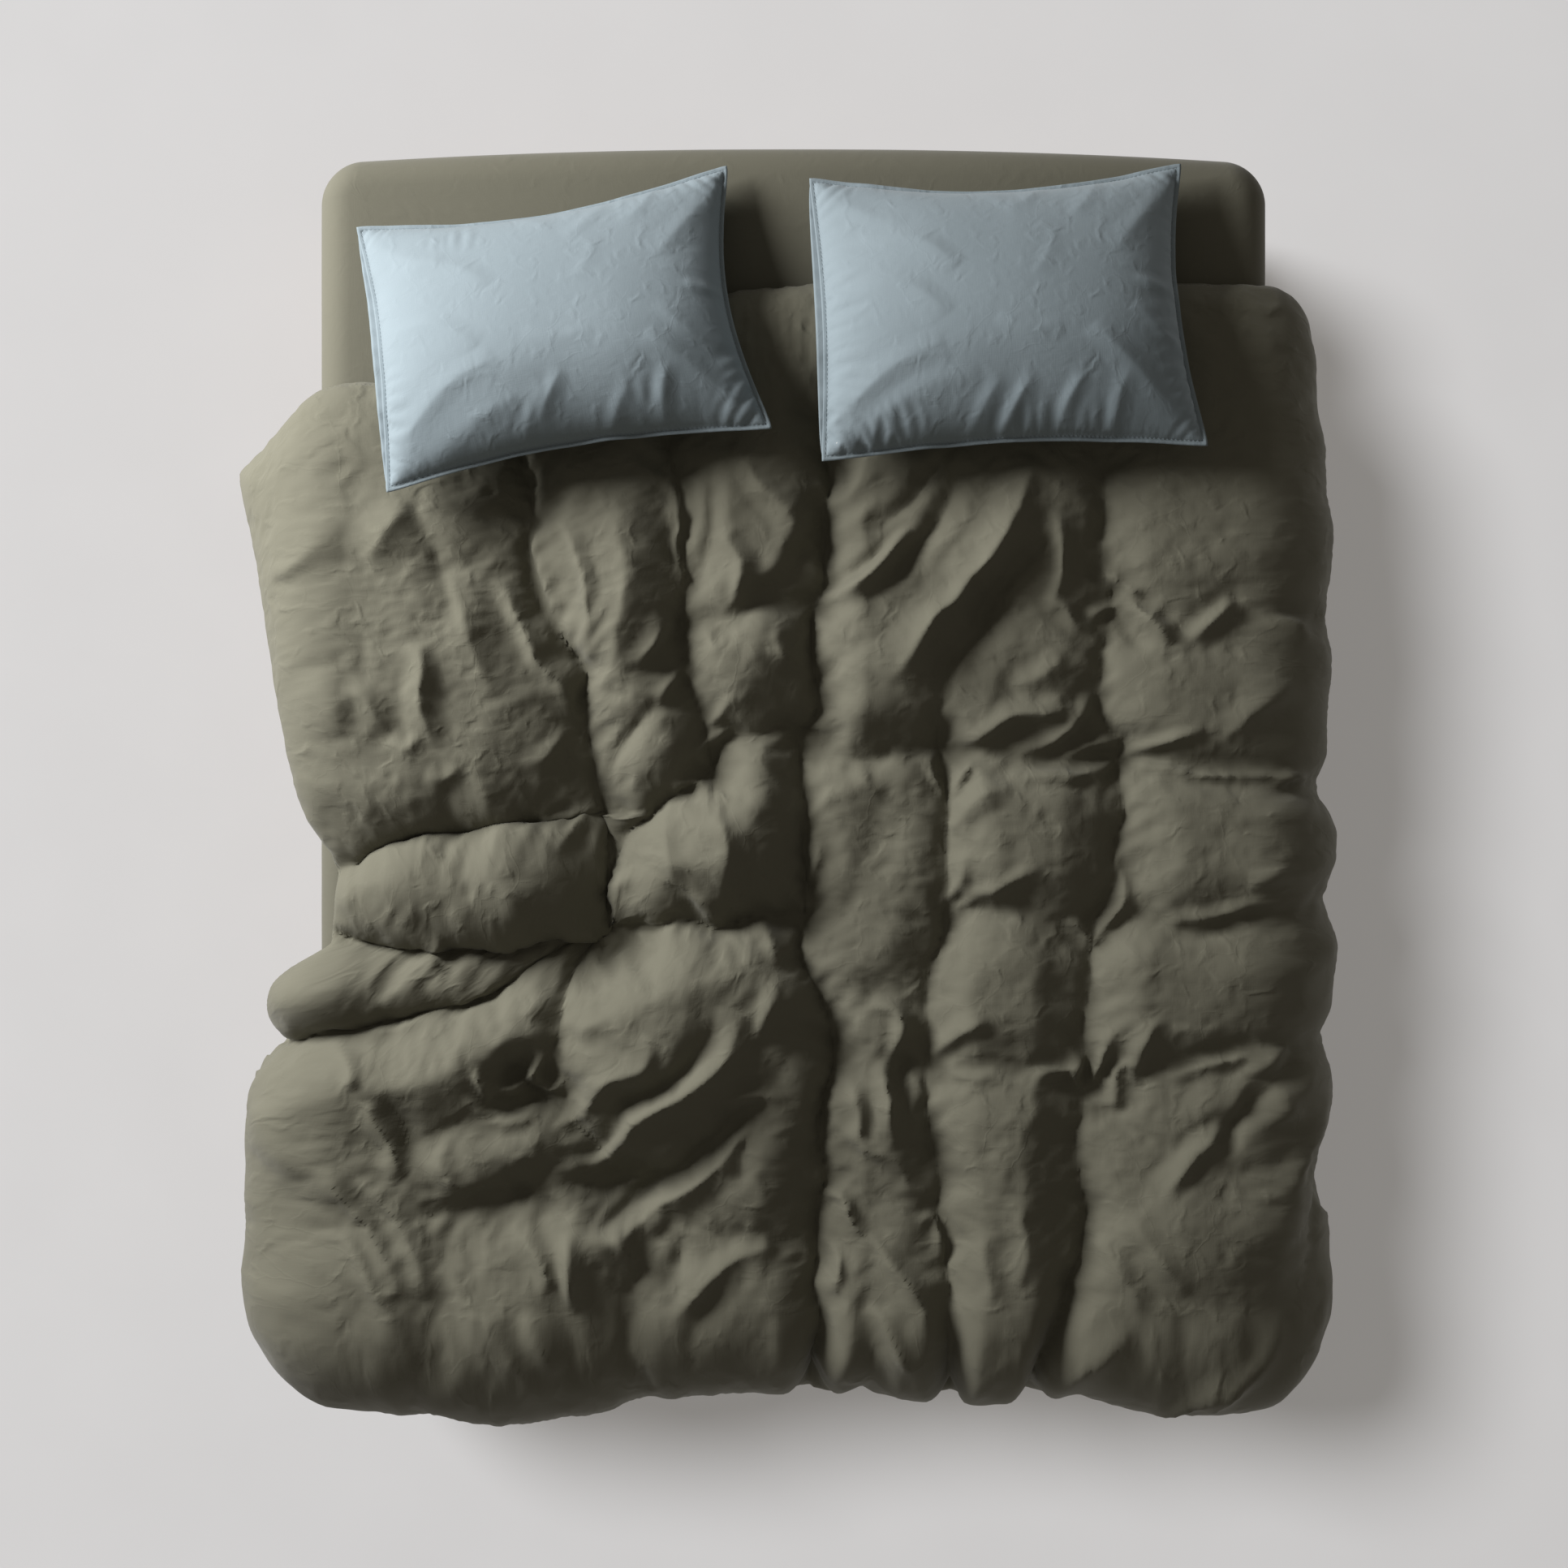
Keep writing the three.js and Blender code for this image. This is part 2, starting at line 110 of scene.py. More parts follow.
def resample(grid: Array, rows: int, columns: int) -> Array:
    """The grid's values on a finer or coarser grid over the same square, along Catmull-Rom curves.

    Args:
        grid: the values, on an even grid.
        rows: how many rows the new grid has.
        columns: how many columns it has.

    Returns:
        The values on the new grid.
    """

    def along(values: Array, count: int, axis: int) -> Array:
        """The values at count even places along one axis.

        Args:
            values: the values, on an even grid.
            count: how many places.
            axis: the axis.

        Returns:
            The values at the places.
        """
        last = values.shape[axis] - 1
        x = np.linspace(0, last, count)
        i = np.minimum(x.astype(int), last - 1)
        t = (x - i).reshape([count if k == axis else 1 for k in range(values.ndim)])
        picks = (np.clip(i - 1, 0, last), i, i + 1, np.clip(i + 2, 0, last))
        a, b, c, d = (np.take(values, k, axis) for k in picks)
        return 0.5 * (2 * b + (c - a) * t + (2 * a - 5 * b + 4 * c - d) * t**2 + (3 * b - a - 3 * c + d) * t**3)

    return along(along(grid, rows, 0), columns, 1)


def grid_normals(points: Array) -> Array:
    """Unit normals of a grid of points, by the cross product of its two central differences."""
    return unit(np.cross(np.gradient(points, axis=0), np.gradient(points, axis=1)))


def soft_noise_at(x: Array, y: Array, cell: float, rng: np.random.Generator) -> Array:
    """Smooth noise of unit size at each place: random values on a square lattice, blended by smooth steps.

    Args:
        x: places across.
        y: places along.
        cell: the lattice's spacing, in the units of the places.
        rng: the seeded numbers.

    Returns:
        The noise at each place.
    """
    lattice = rng.normal(size=(64, 64))
    i, j = np.floor(x / cell).astype(int), np.floor(y / cell).astype(int)
    fx, fy = smooth(x / cell - i, 0, 1), smooth(y / cell - j, 0, 1)
    a, b, c, d = (lattice[(i + p) % 64, (j + q) % 64] for p, q in ((0, 0), (1, 0), (0, 1), (1, 1)))
    return (a * (1 - fx) + b * fx) * (1 - fy) + (c * (1 - fx) + d * fx) * fy


def grid_quads(rows: int, columns: int) -> Array:
    """The four corners of each cell of a grid, in the order that faces the cross product of its axes.

    Args:
        rows: how many rows of points it has.
        columns: how many columns.

    Returns:
        The points of each cell.
    """
    i, j = np.meshgrid(np.arange(rows - 1), np.arange(columns - 1), indexing="ij")
    a = (i * columns + j).ravel()
    return np.stack([a, a + columns, a + columns + 1, a + 1], 1)


def rim_of(rows: int, columns: int) -> Array:
    """The indices round a grid's edge, in order, the same way round as its faces."""
    k = np.arange(rows * columns).reshape(rows, columns)
    return np.concatenate([k[:-1, 0], k[-1, :-1], k[:0:-1, -1], k[0, :0:-1]])


def build_piece(name: str, points: Array, quads: Array, uv: Array | None = None) -> bpy.types.Object:
    """A smooth-shaded mesh object at the origin.

    Args:
        name: the piece's name.
        points: its vertices, one per row.
        quads: its faces, four indices per row.
        uv: the flat place of each vertex, in metres, if the finish follows the cloth.

    Returns:
        The new object.
    """
    mesh = bpy.data.meshes.new(name)
    mesh.vertices.add(len(points))
    mesh.vertices.foreach_set("co", points.astype(np.float32).ravel())
    mesh.loops.add(quads.size)
    mesh.loops.foreach_set("vertex_index", quads.astype(np.int32).ravel())
    mesh.polygons.add(len(quads))
    mesh.polygons.foreach_set("loop_start", np.arange(0, quads.size, 4, dtype=np.int32))
    mesh.polygons.foreach_set("use_smooth", np.ones(len(quads), bool))
    mesh.update(calc_edges=True)
    if uv is not None:
        layer = mesh.uv_layers.new(name="cloth")
        layer.data.foreach_set("uv", uv[quads.ravel()].astype(np.float32).ravel())
    mesh.validate()
    made = bpy.data.objects.new(name, mesh)
    bpy.context.scene.collection.objects.link(made)
    log.info("%s: %d faces", name, len(quads))
    return made


def closed_between(name: str, high: Array, low: Array, uv: Array) -> bpy.types.Object:
    """A closed form between two grids of the same size, with a strip of faces round its rim.

    Args:
        name: the piece's name.
        high: the upper grid's points.
        low: the lower grid's points.
        uv: the flat place of each grid point, shared by both.

    Returns:
        The new object.
    """
    rows, columns = high.shape[:2]
    count = rows * columns
    quads = grid_quads(rows, columns)
    rim = rim_of(rows, columns)
    after = np.roll(rim, -1)
    side = np.stack([rim, rim + count, after + count, after], 1)
    points = np.vstack([high.reshape(-1, 3), low.reshape(-1, 3)])
    flat = np.vstack([uv.reshape(-1, 2)] * 2)
    return build_piece(name, points, np.vstack([quads, quads[:, ::-1] + count, side]), flat)


# --- Cloth ---


class Cloth:
    """A grid of cloth that keeps its lengths: neighbours are moved until each thread has its own length.

    Threads run along, across and diagonally, and longer ones, which only push, keep it from folding sharply.
    """

    THREADS = ((1, 0, 1.0, 1.0), (0, 1, 1.0, 1.0), (1, 1, 0.5, 0.5), (1, -1, 0.5, 0.5))

    def __init__(self, points: Array, slack: Array, stiffness: float) -> None:
        """Cuts the cloth to the lengths of points.

        Args:
            points: the grid that gives the lengths, rows x columns x 3.
            slack: how many times longer the cloth is at each place.
            stiffness: how hard it resists a fold, from 0 to 1.
        """
        self.points = points.astype(np.float32)
        folds = [(2, 0, 0, stiffness), (0, 2, 0, stiffness), (4, 0, 0, stiffness / 2), (0, 4, 0, stiffness / 2)]
        self.sets = [s for thread in [*self.THREADS, *folds] for s in self._sets(points, slack, *thread)]

    @staticmethod
    def _sets(points: Array, slack: Array, di: int, dj: int, pull: float, push: float) -> list[tuple]:
        """The threads of one kind, in sets that share no point, each with its rest lengths.

        Args:
            points: the grid that gives the lengths.
            slack: how many times longer the cloth is at each place.
            di: how many rows a thread spans.
            dj: how many columns it spans.
            pull: how strongly it shortens when stretched.
            push: how strongly it lengthens when pressed.

        Returns:
            For each set, the slices of its two ends, its lengths, pull and push.
        """
        span = max(di, abs(dj))
        rows, columns = slack.shape
        made = []
        for k in range(2 * span):
            if di:
                start = (slice(k, rows - di, 2 * span), slice(max(0, -dj), columns - max(0, dj)))
                end = (slice(k + di, rows, 2 * span), slice(max(0, dj), columns - max(0, -dj)))
            else:
                start = (slice(0, rows), slice(k, columns - dj, 2 * span))
                end = (slice(0, rows), slice(k + dj, columns, 2 * span))
            length = np.linalg.norm(points[end] - points[start], axis=-1) * (slack[end] + slack[start]) / 2
            made.append((start, end, length.astype(np.float32), np.float32(pull), np.float32(push)))
        return made

    def relax(self) -> None:
        """Moves each thread's two ends, half each, towards its rest length."""
        for start, end, length, pull, push in self.sets:
            a, b = self.points[start], self.points[end]
            gap = b - a
            now = np.sqrt(np.einsum("ijk,ijk->ij", gap, gap)) + np.float32(1e-9)
            share = (now - length) / now * np.float32(0.5)
            gap *= np.where(share > 0, share * pull, share * push)[..., None]
            a += gap
            b -= gap


# --- Finishes ---

MM = 0.001


def linear(colour: str, alpha: float = 1.0) -> tuple[float, float, float, float]:
    """An sRGB hex colour as linear values.

    Args:
        colour: the colour, as #rrggbb.
        alpha: its opacity.

    Returns:
        Red, green, blue and alpha.
    """
    parts = np.array([int(colour[k : k + 2], 16) for k in (1, 3, 5)]) / 255
    r, g, b = np.where(parts <= 0.04045, parts / 12.92, ((parts + 0.055) / 1.055) ** 2.4)
    return float(r), float(g), float(b), alpha


def add(tree: bpy.types.NodeTree, kind: str, inputs: Sockets | None = None, **settings: object) -> bpy.types.Node:
    """Adds a node with its settings, and sets or links its inputs.

    Args:
        tree: the material's nodes.
        kind: the node's type, without the ShaderNode in front.
        inputs: socket name or index to a value, or to an output socket to link from.
        settings: the node's own properties.

    Returns:
        The new node.
    """
    made = tree.nodes.new("ShaderNode" + kind)
    for name, value in settings.items():
        setattr(made, name, value)
    for key, value in (inputs or {}).items():
        if isinstance(value, bpy.types.NodeSocket):
            tree.links.new(value, made.inputs[key])
        else:
            made.inputs[key].default_value = value
    return made


def new_material(name: str) -> tuple[bpy.types.Material, bpy.types.NodeTree, bpy.types.Node]:
    """An empty material with a Principled shader wired to its output.

    Args:
        name: the material's name.

    Returns:
        The material, its nodes and the shader.
    """
    material = bpy.data.materials.new(name)
    material.use_nodes = True
    tree = material.node_tree
    tree.nodes.clear()
    shader = add(tree, "BsdfPrincipled")
    add(tree, "OutputMaterial", {"Surface": shader.outputs[0]})
    return material, tree, shader


@dataclass(frozen=True)
class WashedCotton:
    """Percale washed soft: a matt plain weave, crumpled all over by the wash, with a few long press lines.

    Attributes:
        name: the material's name.
        colour: the dye's colour.
        faded: its colour where the wash has worn it.
        crinkle: how crumpled it is.
        thread_mm: the slubs' spacing. Real threads stand 0.3 mm apart; these are coarser so that they show.
        crumple_mm: the size of the crumples.
        crease_mm: how far apart the press lines lie.
        cut: the sewn panel's size, if its edge has a row of stitches.
        inset_mm: how far the stitches lie from the edge.
        stitch_mm: their length.
        groove_mm: half the width of the groove they lie in.
        pucker_mm: how far the cloth puckers beside them.
    """

    name: str
    colour: str
    faded: str
    crinkle: float = 1.0
    thread_mm: float = 2.0
    crumple_mm: float = 34.0
    crease_mm: float = 85.0
    cut: tuple[float, float] | None = None
    inset_mm: float = 9.0
    stitch_mm: float = 4.0
    groove_mm: float = 2.2
    pucker_mm: float = 14.0

    def seam(self, tree: bpy.types.NodeTree, place: bpy.types.NodeSocket) -> bpy.types.NodeSocket:
        """The height of the stitched edge: 1 on the cloth, 0 in each stitch's dimple and the groove between.

        Args:
            tree: the material's nodes.
            place: the flat place, from the middle of the panel.

        Returns:
            The height's socket.
        """
        size = (self.cut[0] / 2, self.cut[1] / 2, 1.0)
        apart = add(tree, "VectorMath", {0: place}, operation="ABSOLUTE").outputs[0]
        apart = add(tree, "VectorMath", {0: size, 1: apart}, operation="SUBTRACT").outputs[0]
        sides = add(tree, "SeparateXYZ", {0: apart}).outputs
        nearest = add(tree, "Math", {0: sides[0], 1: sides[1]}, operation="MINIMUM").outputs[0]
        off = add(tree, "Math", {0: nearest, 1: self.inset_mm * MM}, operation="SUBTRACT").outputs[0]
        off = add(tree, "Math", {0: off}, operation="ABSOLUTE").outputs[0]
        sinks = {"Value": off, "From Min": 0.4 * MM, "From Max": self.groove_mm * MM}
        groove = add(tree, "MapRange", sinks).outputs[0]
        dash = add(
            tree, "TexWave", {"Vector": place, "Scale": 0.314 / (self.stitch_mm * MM)}, bands_direction="DIAGONAL"
        ).outputs["Fac"]
        pucker = add(tree, "TexNoise", {"Vector": place, "Scale": 1 / (11 * MM), "Detail": 1.0}).outputs["Fac"]
        fades = {"Value": off, "From Min": 0.0, "From Max": self.pucker_mm * MM, "To Min": 1.0, "To Max": 0.0}
        by_seam = add(tree, "MapRange", fades).outputs[0]
        pucker = add(tree, "Math", {0: pucker, 1: by_seam}, operation="MULTIPLY").outputs[0]
        stitches = add(tree, "Math", {0: dash, 1: 0.7}, operation="MULTIPLY").outputs[0]
        edge = add(tree, "Math", {0: groove, 1: stitches}, operation="MAXIMUM").outputs[0]
        return add(tree, "Math", {0: edge, 1: pucker}, operation="ADD").outputs[0]

    def material(self) -> bpy.types.Material:
        """The cotton's colour drifts a little with the wash; its bump is weave, crumple and press lines.

        Returns:
            The material.
        """
        material, tree, shader = new_material(self.name)
        place = add(tree, "UVMap", uv_map="cloth").outputs[0]
        warp = add(tree, "TexNoise", {"Vector": place, "Scale": 1 / (40 * MM), "Detail": 3.0}).outputs["Color"]
        bent = add(tree, "VectorMath", {0: warp, 1: (0.5, 0.5, 0.5)}, operation="SUBTRACT").outputs[0]
        bent = add(tree, "VectorMath", {0: bent, "Scale": 0.03}, operation="SCALE").outputs[0]
        wavy = add(tree, "VectorMath", {0: place, 1: bent}, operation="ADD").outputs[0]

        fade = add(tree, "TexNoise", {"Vector": place, "Scale": 1 / (300 * MM), "Detail": 5.0, "Roughness": 0.6})
        # The Mix node repeats its socket names for each kind of data: 6, 7 and output 2 are its colours.
        ends = {0: fade.outputs["Fac"], 6: linear(self.colour), 7: linear(self.faded)}
        colour = add(tree, "Mix", ends, data_type="RGBA")
        tree.links.new(colour.outputs[2], shader.inputs["Base Color"])

        crumple = add(
            tree,
            "TexNoise",
            {"Vector": wavy, "Scale": 1 / (self.crumple_mm * MM), "Detail": 5.0, "Roughness": 0.62, "Distortion": 0.6},
            noise_type="RIDGED_MULTIFRACTAL",
        ).outputs["Fac"]
        lines = add(
            tree,
            "TexVoronoi",
            {"Vector": wavy, "Scale": 1 / (self.crease_mm * MM), "Randomness": 1.0},
            feature="DISTANCE_TO_EDGE",
        ).outputs["Distance"]
        lines = add(
            tree, "MapRange", {"Value": lines, "From Min": 0.0, "From Max": 0.03, "To Min": 1.0, "To Max": 0.0}
        ).outputs[0]
        patch = add(tree, "TexNoise", {"Vector": place, "Scale": 1 / (160 * MM), "Detail": 2.0}).outputs["Fac"]
        patch = add(tree, "MapRange", {"Value": patch, "From Min": 0.45, "From Max": 0.62}).outputs[0]
        lines = add(tree, "Math", {0: lines, 1: patch}, operation="MULTIPLY").outputs[0]
        weave = None
        for stretch in ((1.0, 0.1, 1.0), (0.1, 1.0, 1.0)):
            slubs = add(tree, "VectorMath", {0: place, 1: stretch}, operation="MULTIPLY").outputs[0]
            thread = add(
                tree, "TexNoise", {"Vector": slubs, "Scale": 1 / (self.thread_mm * MM), "Detail": 1.0}
            ).outputs["Fac"]
            if weave is None:
                weave = thread
            else:
                weave = add(tree, "Math", {0: weave, 1: thread}, operation="ADD").outputs[0]

        weft = add(tree, "Bump", {"Height": weave, "Strength": 0.22, "Distance": 0.4 * MM}).outputs[0]
        press = add(
            tree, "Bump", {"Height": lines, "Normal": weft, "Strength": 0.16 * self.crinkle, "Distance": 1.5 * MM}
        ).outputs[0]
        bump = add(
            tree, "Bump", {"Height": crumple, "Normal": press, "Strength": 0.5 * self.crinkle, "Distance": 5.0 * MM}
        ).outputs[0]
        if self.cut:
            sewn = self.seam(tree, place)
            stitched = {"Height": sewn, "Normal": bump, "Strength": 0.7, "Distance": 1.6 * MM}
            bump = add(tree, "Bump", stitched).outputs[0]
        tree.links.new(bump, shader.inputs["Normal"])
        shader.inputs["Roughness"].default_value = 0.86
        shader.inputs["IOR"].default_value = 1.47
        shader.inputs["Specular IOR Level"].default_value = 0.25
        shader.inputs["Sheen Weight"].default_value = 0.12
        shader.inputs["Sheen Roughness"].default_value = 0.45
        return material


class Grain(Enum):
    """Which way a board's grain runs, as how much its pattern is stretched along X, Y and Z."""

    ACROSS = (0.08, 1.0, 1.0)
    ALONG = (1.0, 0.08, 1.0)
    UPRIGHT = (1.0, 1.0, 0.08)


@dataclass(frozen=True)
class OiledOak:
    """Planed and oiled oak: straight grain with open pores along each board, satin."""

    grain: Grain
    pale: str = "#b18f66"
    dark: str = "#8a6a45"
    grain_mm: float = 9.0

    def material(self) -> bpy.types.Material:
        """Stretched noise gives the grain, and its pores catch the light.

        Returns:
            The material.
        """
        material, tree, shader = new_material(f"oiled_oak_{self.grain.name.lower()}")
        place = add(tree, "TexCoord").outputs["Object"]
        long = add(tree, "Mapping", {"Vector": place, "Scale": self.grain.value}).outputs[0]
        grain = add(
            tree,
            "TexNoise",
            {"Vector": long, "Scale": 1 / (self.grain_mm * MM), "Detail": 6.0, "Roughness": 0.65, "Distortion": 0.4},
        ).outputs["Fac"]
        ramp = add(tree, "ValToRGB", {"Fac": grain})
        ramp.color_ramp.elements[0].position = 0.35
        ramp.color_ramp.elements[0].color = linear(self.dark)
        ramp.color_ramp.elements[1].position = 0.65
        ramp.color_ramp.elements[1].color = linear(self.pale)
        tree.links.new(ramp.outputs[0], shader.inputs["Base Color"])
        bump = add(tree, "Bump", {"Height": grain, "Strength": 0.25, "Distance": 0.4 * MM}).outputs[0]
        tree.links.new(bump, shader.inputs["Normal"])
        shader.inputs["Roughness"].default_value = 0.5
        return material


@dataclass(frozen=True)
class Knit:
    """A plain finish with a fine speckle: foam cells, knitted ticking, downproof cotton or elastic."""

    name: str
    colour: str
    speck: str
    speck_mm: float
    roughness: float = 0.9

    def material(self) -> bpy.types.Material:
        """Noise speckles the colour and raises the surface a little.

        Returns:
            The material.
        """
        material, tree, shader = new_material(self.name)
        place = add(tree, "TexCoord").outputs["Object"]
        speck = add(tree, "TexNoise", {"Vector": place, "Scale": 1 / (self.speck_mm * MM), "Detail": 4.0})
        speck = speck.outputs["Fac"]
        ramp = add(tree, "ValToRGB", {"Fac": speck})
        ramp.color_ramp.elements[0].position = 0.35
        ramp.color_ramp.elements[0].color = linear(self.speck)
        ramp.color_ramp.elements[1].position = 0.6
        ramp.color_ramp.elements[1].color = linear(self.colour)
        tree.links.new(ramp.outputs[0], shader.inputs["Base Color"])
        bump = add(tree, "Bump", {"Height": speck, "Strength": 0.3, "Distance": 0.5 * MM}).outputs[0]
        tree.links.new(bump, shader.inputs["Normal"])
        shader.inputs["Roughness"].default_value = self.roughness
        return material


@dataclass(frozen=True)
class PolishedResin:
    """Cast polyester resin, tumbled smooth: dark, with faint paler streaks."""

    name: str = "polished_resin"
    colour: str = "#3b372c"
    streak: str = "#5a5443"

    def material(self) -> bpy.types.Material:
        """A wave warped by noise gives the streaks.

        Returns:
            The material.
        """
        material, tree, shader = new_material(self.name)
        place = add(tree, "TexCoord").outputs["Object"]
        streak = add(tree, "TexWave", {"Vector": place, "Scale": 1 / (14 * MM), "Distortion": 8.0}).outputs["Fac"]
        ramp = add(tree, "ValToRGB", {"Fac": streak})
        ramp.color_ramp.elements[0].color = linear(self.colour)
        ramp.color_ramp.elements[1].color = linear(self.streak)
        tree.links.new(ramp.outputs[0], shader.inputs["Base Color"])
        shader.inputs["Roughness"].default_value = 0.3
        return material


def dress(piece: bpy.types.Object, material: bpy.types.Material) -> None:
    """Gives the piece this one material."""
    piece.data.materials.clear()
    piece.data.materials.append(material)


@dataclass(frozen=True)
class PaintedPlaster:
    """A painted plaster floor: pale, matt, faintly mottled, and lit from within so its shadows stay pale."""

    name: str = "painted_plaster"
    dark: str = "#a7a7a9"
    pale: str = "#adadaf"
    glow: float = 0.20
    mottle_mm: float = 250.0

    def material(self) -> bpy.types.Material:
        """Broad noise mottles the colour.

        Returns:
            The material.
        """
        material, tree, shader = new_material(self.name)
        place = add(tree, "TexCoord").outputs["Object"]
        mottle = add(tree, "TexNoise", {"Vector": place, "Scale": 1 / (self.mottle_mm * MM), "Detail": 6.0})
        ramp = add(tree, "ValToRGB", {"Fac": mottle.outputs["Fac"]})
        ramp.color_ramp.elements[0].color = linear(self.dark)
        ramp.color_ramp.elements[1].color = linear(self.pale)
        tree.links.new(ramp.outputs[0], shader.inputs["Base Color"])
        shader.inputs["Roughness"].default_value = 0.9
        shader.inputs["Emission Color"].default_value = linear("#fffbf6")
        shader.inputs["Emission Strength"].default_value = self.glow
        return material


# --- The duvet ---


@dataclass(frozen=True)
class Crease:
    """A line where the duvet sinks: a quilting seam or a fold.

    Attributes:
        points: its route over the bed, in metres.
        floor: how high the cover still stands over the underside there.
        left: how far the sinking reaches on its left hand, in metres.
        right: the same on its right hand.
        start: how strong it is at its first point, from 0 to 1.
        end: how strong it is at its last point.
        lean: how far its left side leans over it, in metres; negative where its right side does.
    """

    points: list[tuple[float, float]]
    floor: float
    left: float = 0.12
    right: float = 0.12
    start: float = 1.0
    end: float = 1.0
    lean: float = 0.0


@dataclass(frozen=True)
class Ruck:
    """A small fold that stands up from the cover, or a furrow in it where its rise is negative.

    Attributes:
        points: its route over the bed, in metres.
        rise: how far it stands up, in metres.
        left: its reach on its left hand, in metres.
        right: the same on its right hand.
    """

    points: list[tuple[float, float]]
    rise: float
    left: float = 0.035
    right: float = 0.035


@dataclass(frozen=True)
class BedTop:
    """What the duvet lies on: a flat top whose sides the cloth turns down round an even bend.

    Attributes:
        top: the height of the flat, in metres.
        bend_x: how far out the side bends start.
        bend_y: how far down the bed the foot bend starts.
        radius: the radius of the underside round the bend.
        mean: the radius at which the cloth's length is measured.
        reach: how far past the start of a bend the measured outline can lie.
    """

    top: float = 0.4992
    bend_x: float = 0.740
    bend_y: float = 0.940
    radius: float = 0.066
    mean: float = 0.091
    reach: float = 0.15

    def drape(self, s: Array, t: Array, height: Array) -> tuple[Array, Array]:
        """Lays flat cloth over the bed.

        Past a bend's start the cloth turns through past / mean, up to a right angle, and then hangs straight.
        Along the left side it is stiffer towards the head, where it turns through 38 degrees only.

        Args:
            s: flat place across the bed.
            t: flat place along the bed.
            height: how far each point stands off the underside.

        Returns:
            The points and the outward normals of the underside.
        """
        edge_x, edge_y = np.clip(s, -self.bend_x, self.bend_x), np.maximum(t, -self.bend_y)
        dx, dy = s - edge_x, t - edge_y
        past = np.hypot(dx, dy)
        stiff = np.where(s < -self.bend_x, smooth(t, -0.55 * self.bend_y, 0.1 * self.bend_y), 0)
        furthest = math.pi / 2 + (math.radians(38) - math.pi / 2) * stiff
        angle = np.minimum(past / self.mean, furthest)
        straight = past - angle * self.mean
        radius = self.radius + height
        out = radius * np.sin(angle) + straight * np.cos(angle)
        down = radius * (1 - np.cos(angle)) + straight * np.sin(angle)
        far = np.maximum(past, 1e-9)
        points = np.stack([edge_x + dx / far * out, edge_y + dy / far * out, self.top + height - down], -1)
        normals = np.stack([dx / far * np.sin(angle), dy / far * np.sin(angle), np.cos(angle)], -1)
        return points, normals

    def unroll(self, plan: Array) -> Array:
        """The flat places of plan points: past a bend's start, the arc whose sine is the distance / reach.

        Args:
            plan: the plan points.

        Returns:
            Their flat places.
        """
        flat = plan.copy()
        over = np.abs(plan[:, 0]) - self.bend_x
        arc = self.bend_x + np.arcsin(np.clip(over / self.reach, 0, 1)) * self.mean
        flat[:, 0] = np.where(over > 0, np.sign(plan[:, 0]) * arc, plan[:, 0])
        over = -plan[:, 1] - self.bend_y
        arc = self.bend_y + np.arcsin(np.clip(over / self.reach, 0, 1)) * self.mean
        flat[:, 1] = np.where(over > 0, -arc, plan[:, 1])
        return flat


def beside(s: Array, t: Array, line: Array, reach: float) -> tuple[Array, Array, Array, Array]:
    """How each flat place lies to a line.

    Args:
        s: flat places across.
        t: flat places along.
        line: the line's points.
        reach: how far from the line it matters.

    Returns:
        The distance to the line's nearest stretch, its side (1 on the left hand), how far along it that is and
        the way from there to the flat place.
    """
    nearest, side, along = np.full(s.shape, 9.0), np.zeros(s.shape), np.zeros(s.shape)
    way = np.zeros((*s.shape, 2))
    low, high = line.min(0) - reach, line.max(0) + reach
    inside = (s > low[0]) & (s < high[0]) & (t > low[1]) & (t < high[1])
    x, y = s[inside], t[inside]
    best, hand, share, off = nearest[inside], side[inside], along[inside], way[inside]
    lengths = np.linalg.norm(np.diff(line, axis=0), axis=1)
    before = np.concatenate([[0], np.cumsum(lengths)])
    for k, (start, step) in enumerate(zip(line[:-1], np.diff(line, axis=0))):
        f = np.clip(((x - start[0]) * step[0] + (y - start[1]) * step[1]) / (step @ step + 1e-12), 0, 1)
        ex, ey = x - start[0] - f * step[0], y - start[1] - f * step[1]
        away = np.hypot(ex, ey)
        closer = away < best
        best = np.where(closer, away, best)
        off = np.where(closer[:, None], np.stack([ex, ey], -1), off)
        hand = np.where(closer, np.sign(step[0] * ey - step[1] * ex), hand)
        share = np.where(closer, (before[k] + f * lengths[k]) / before[-1], share)
    nearest[inside], side[inside], along[inside] = best, hand, share
    way[inside] = off
    return nearest, side, along, unit(way)


@dataclass(frozen=True)
class Puffing:
    """How the cloth is blown onto its filling, at one size of grid cell.

    Attributes:
        cell: the grid's spacing, in metres.
        steps: how many times it is pushed out and pulled back to its lengths.
        stiffness: how hard it resists a fold.
        press: how far each step pushes it out, in metres.
        over: how far over the filling the push fades out.
        crumple: how uneven it starts, in metres.
    """

    cell: float
    steps: int
    stiffness: float
    press: float
    over: float
    crumple: float
    pulls: int = 8


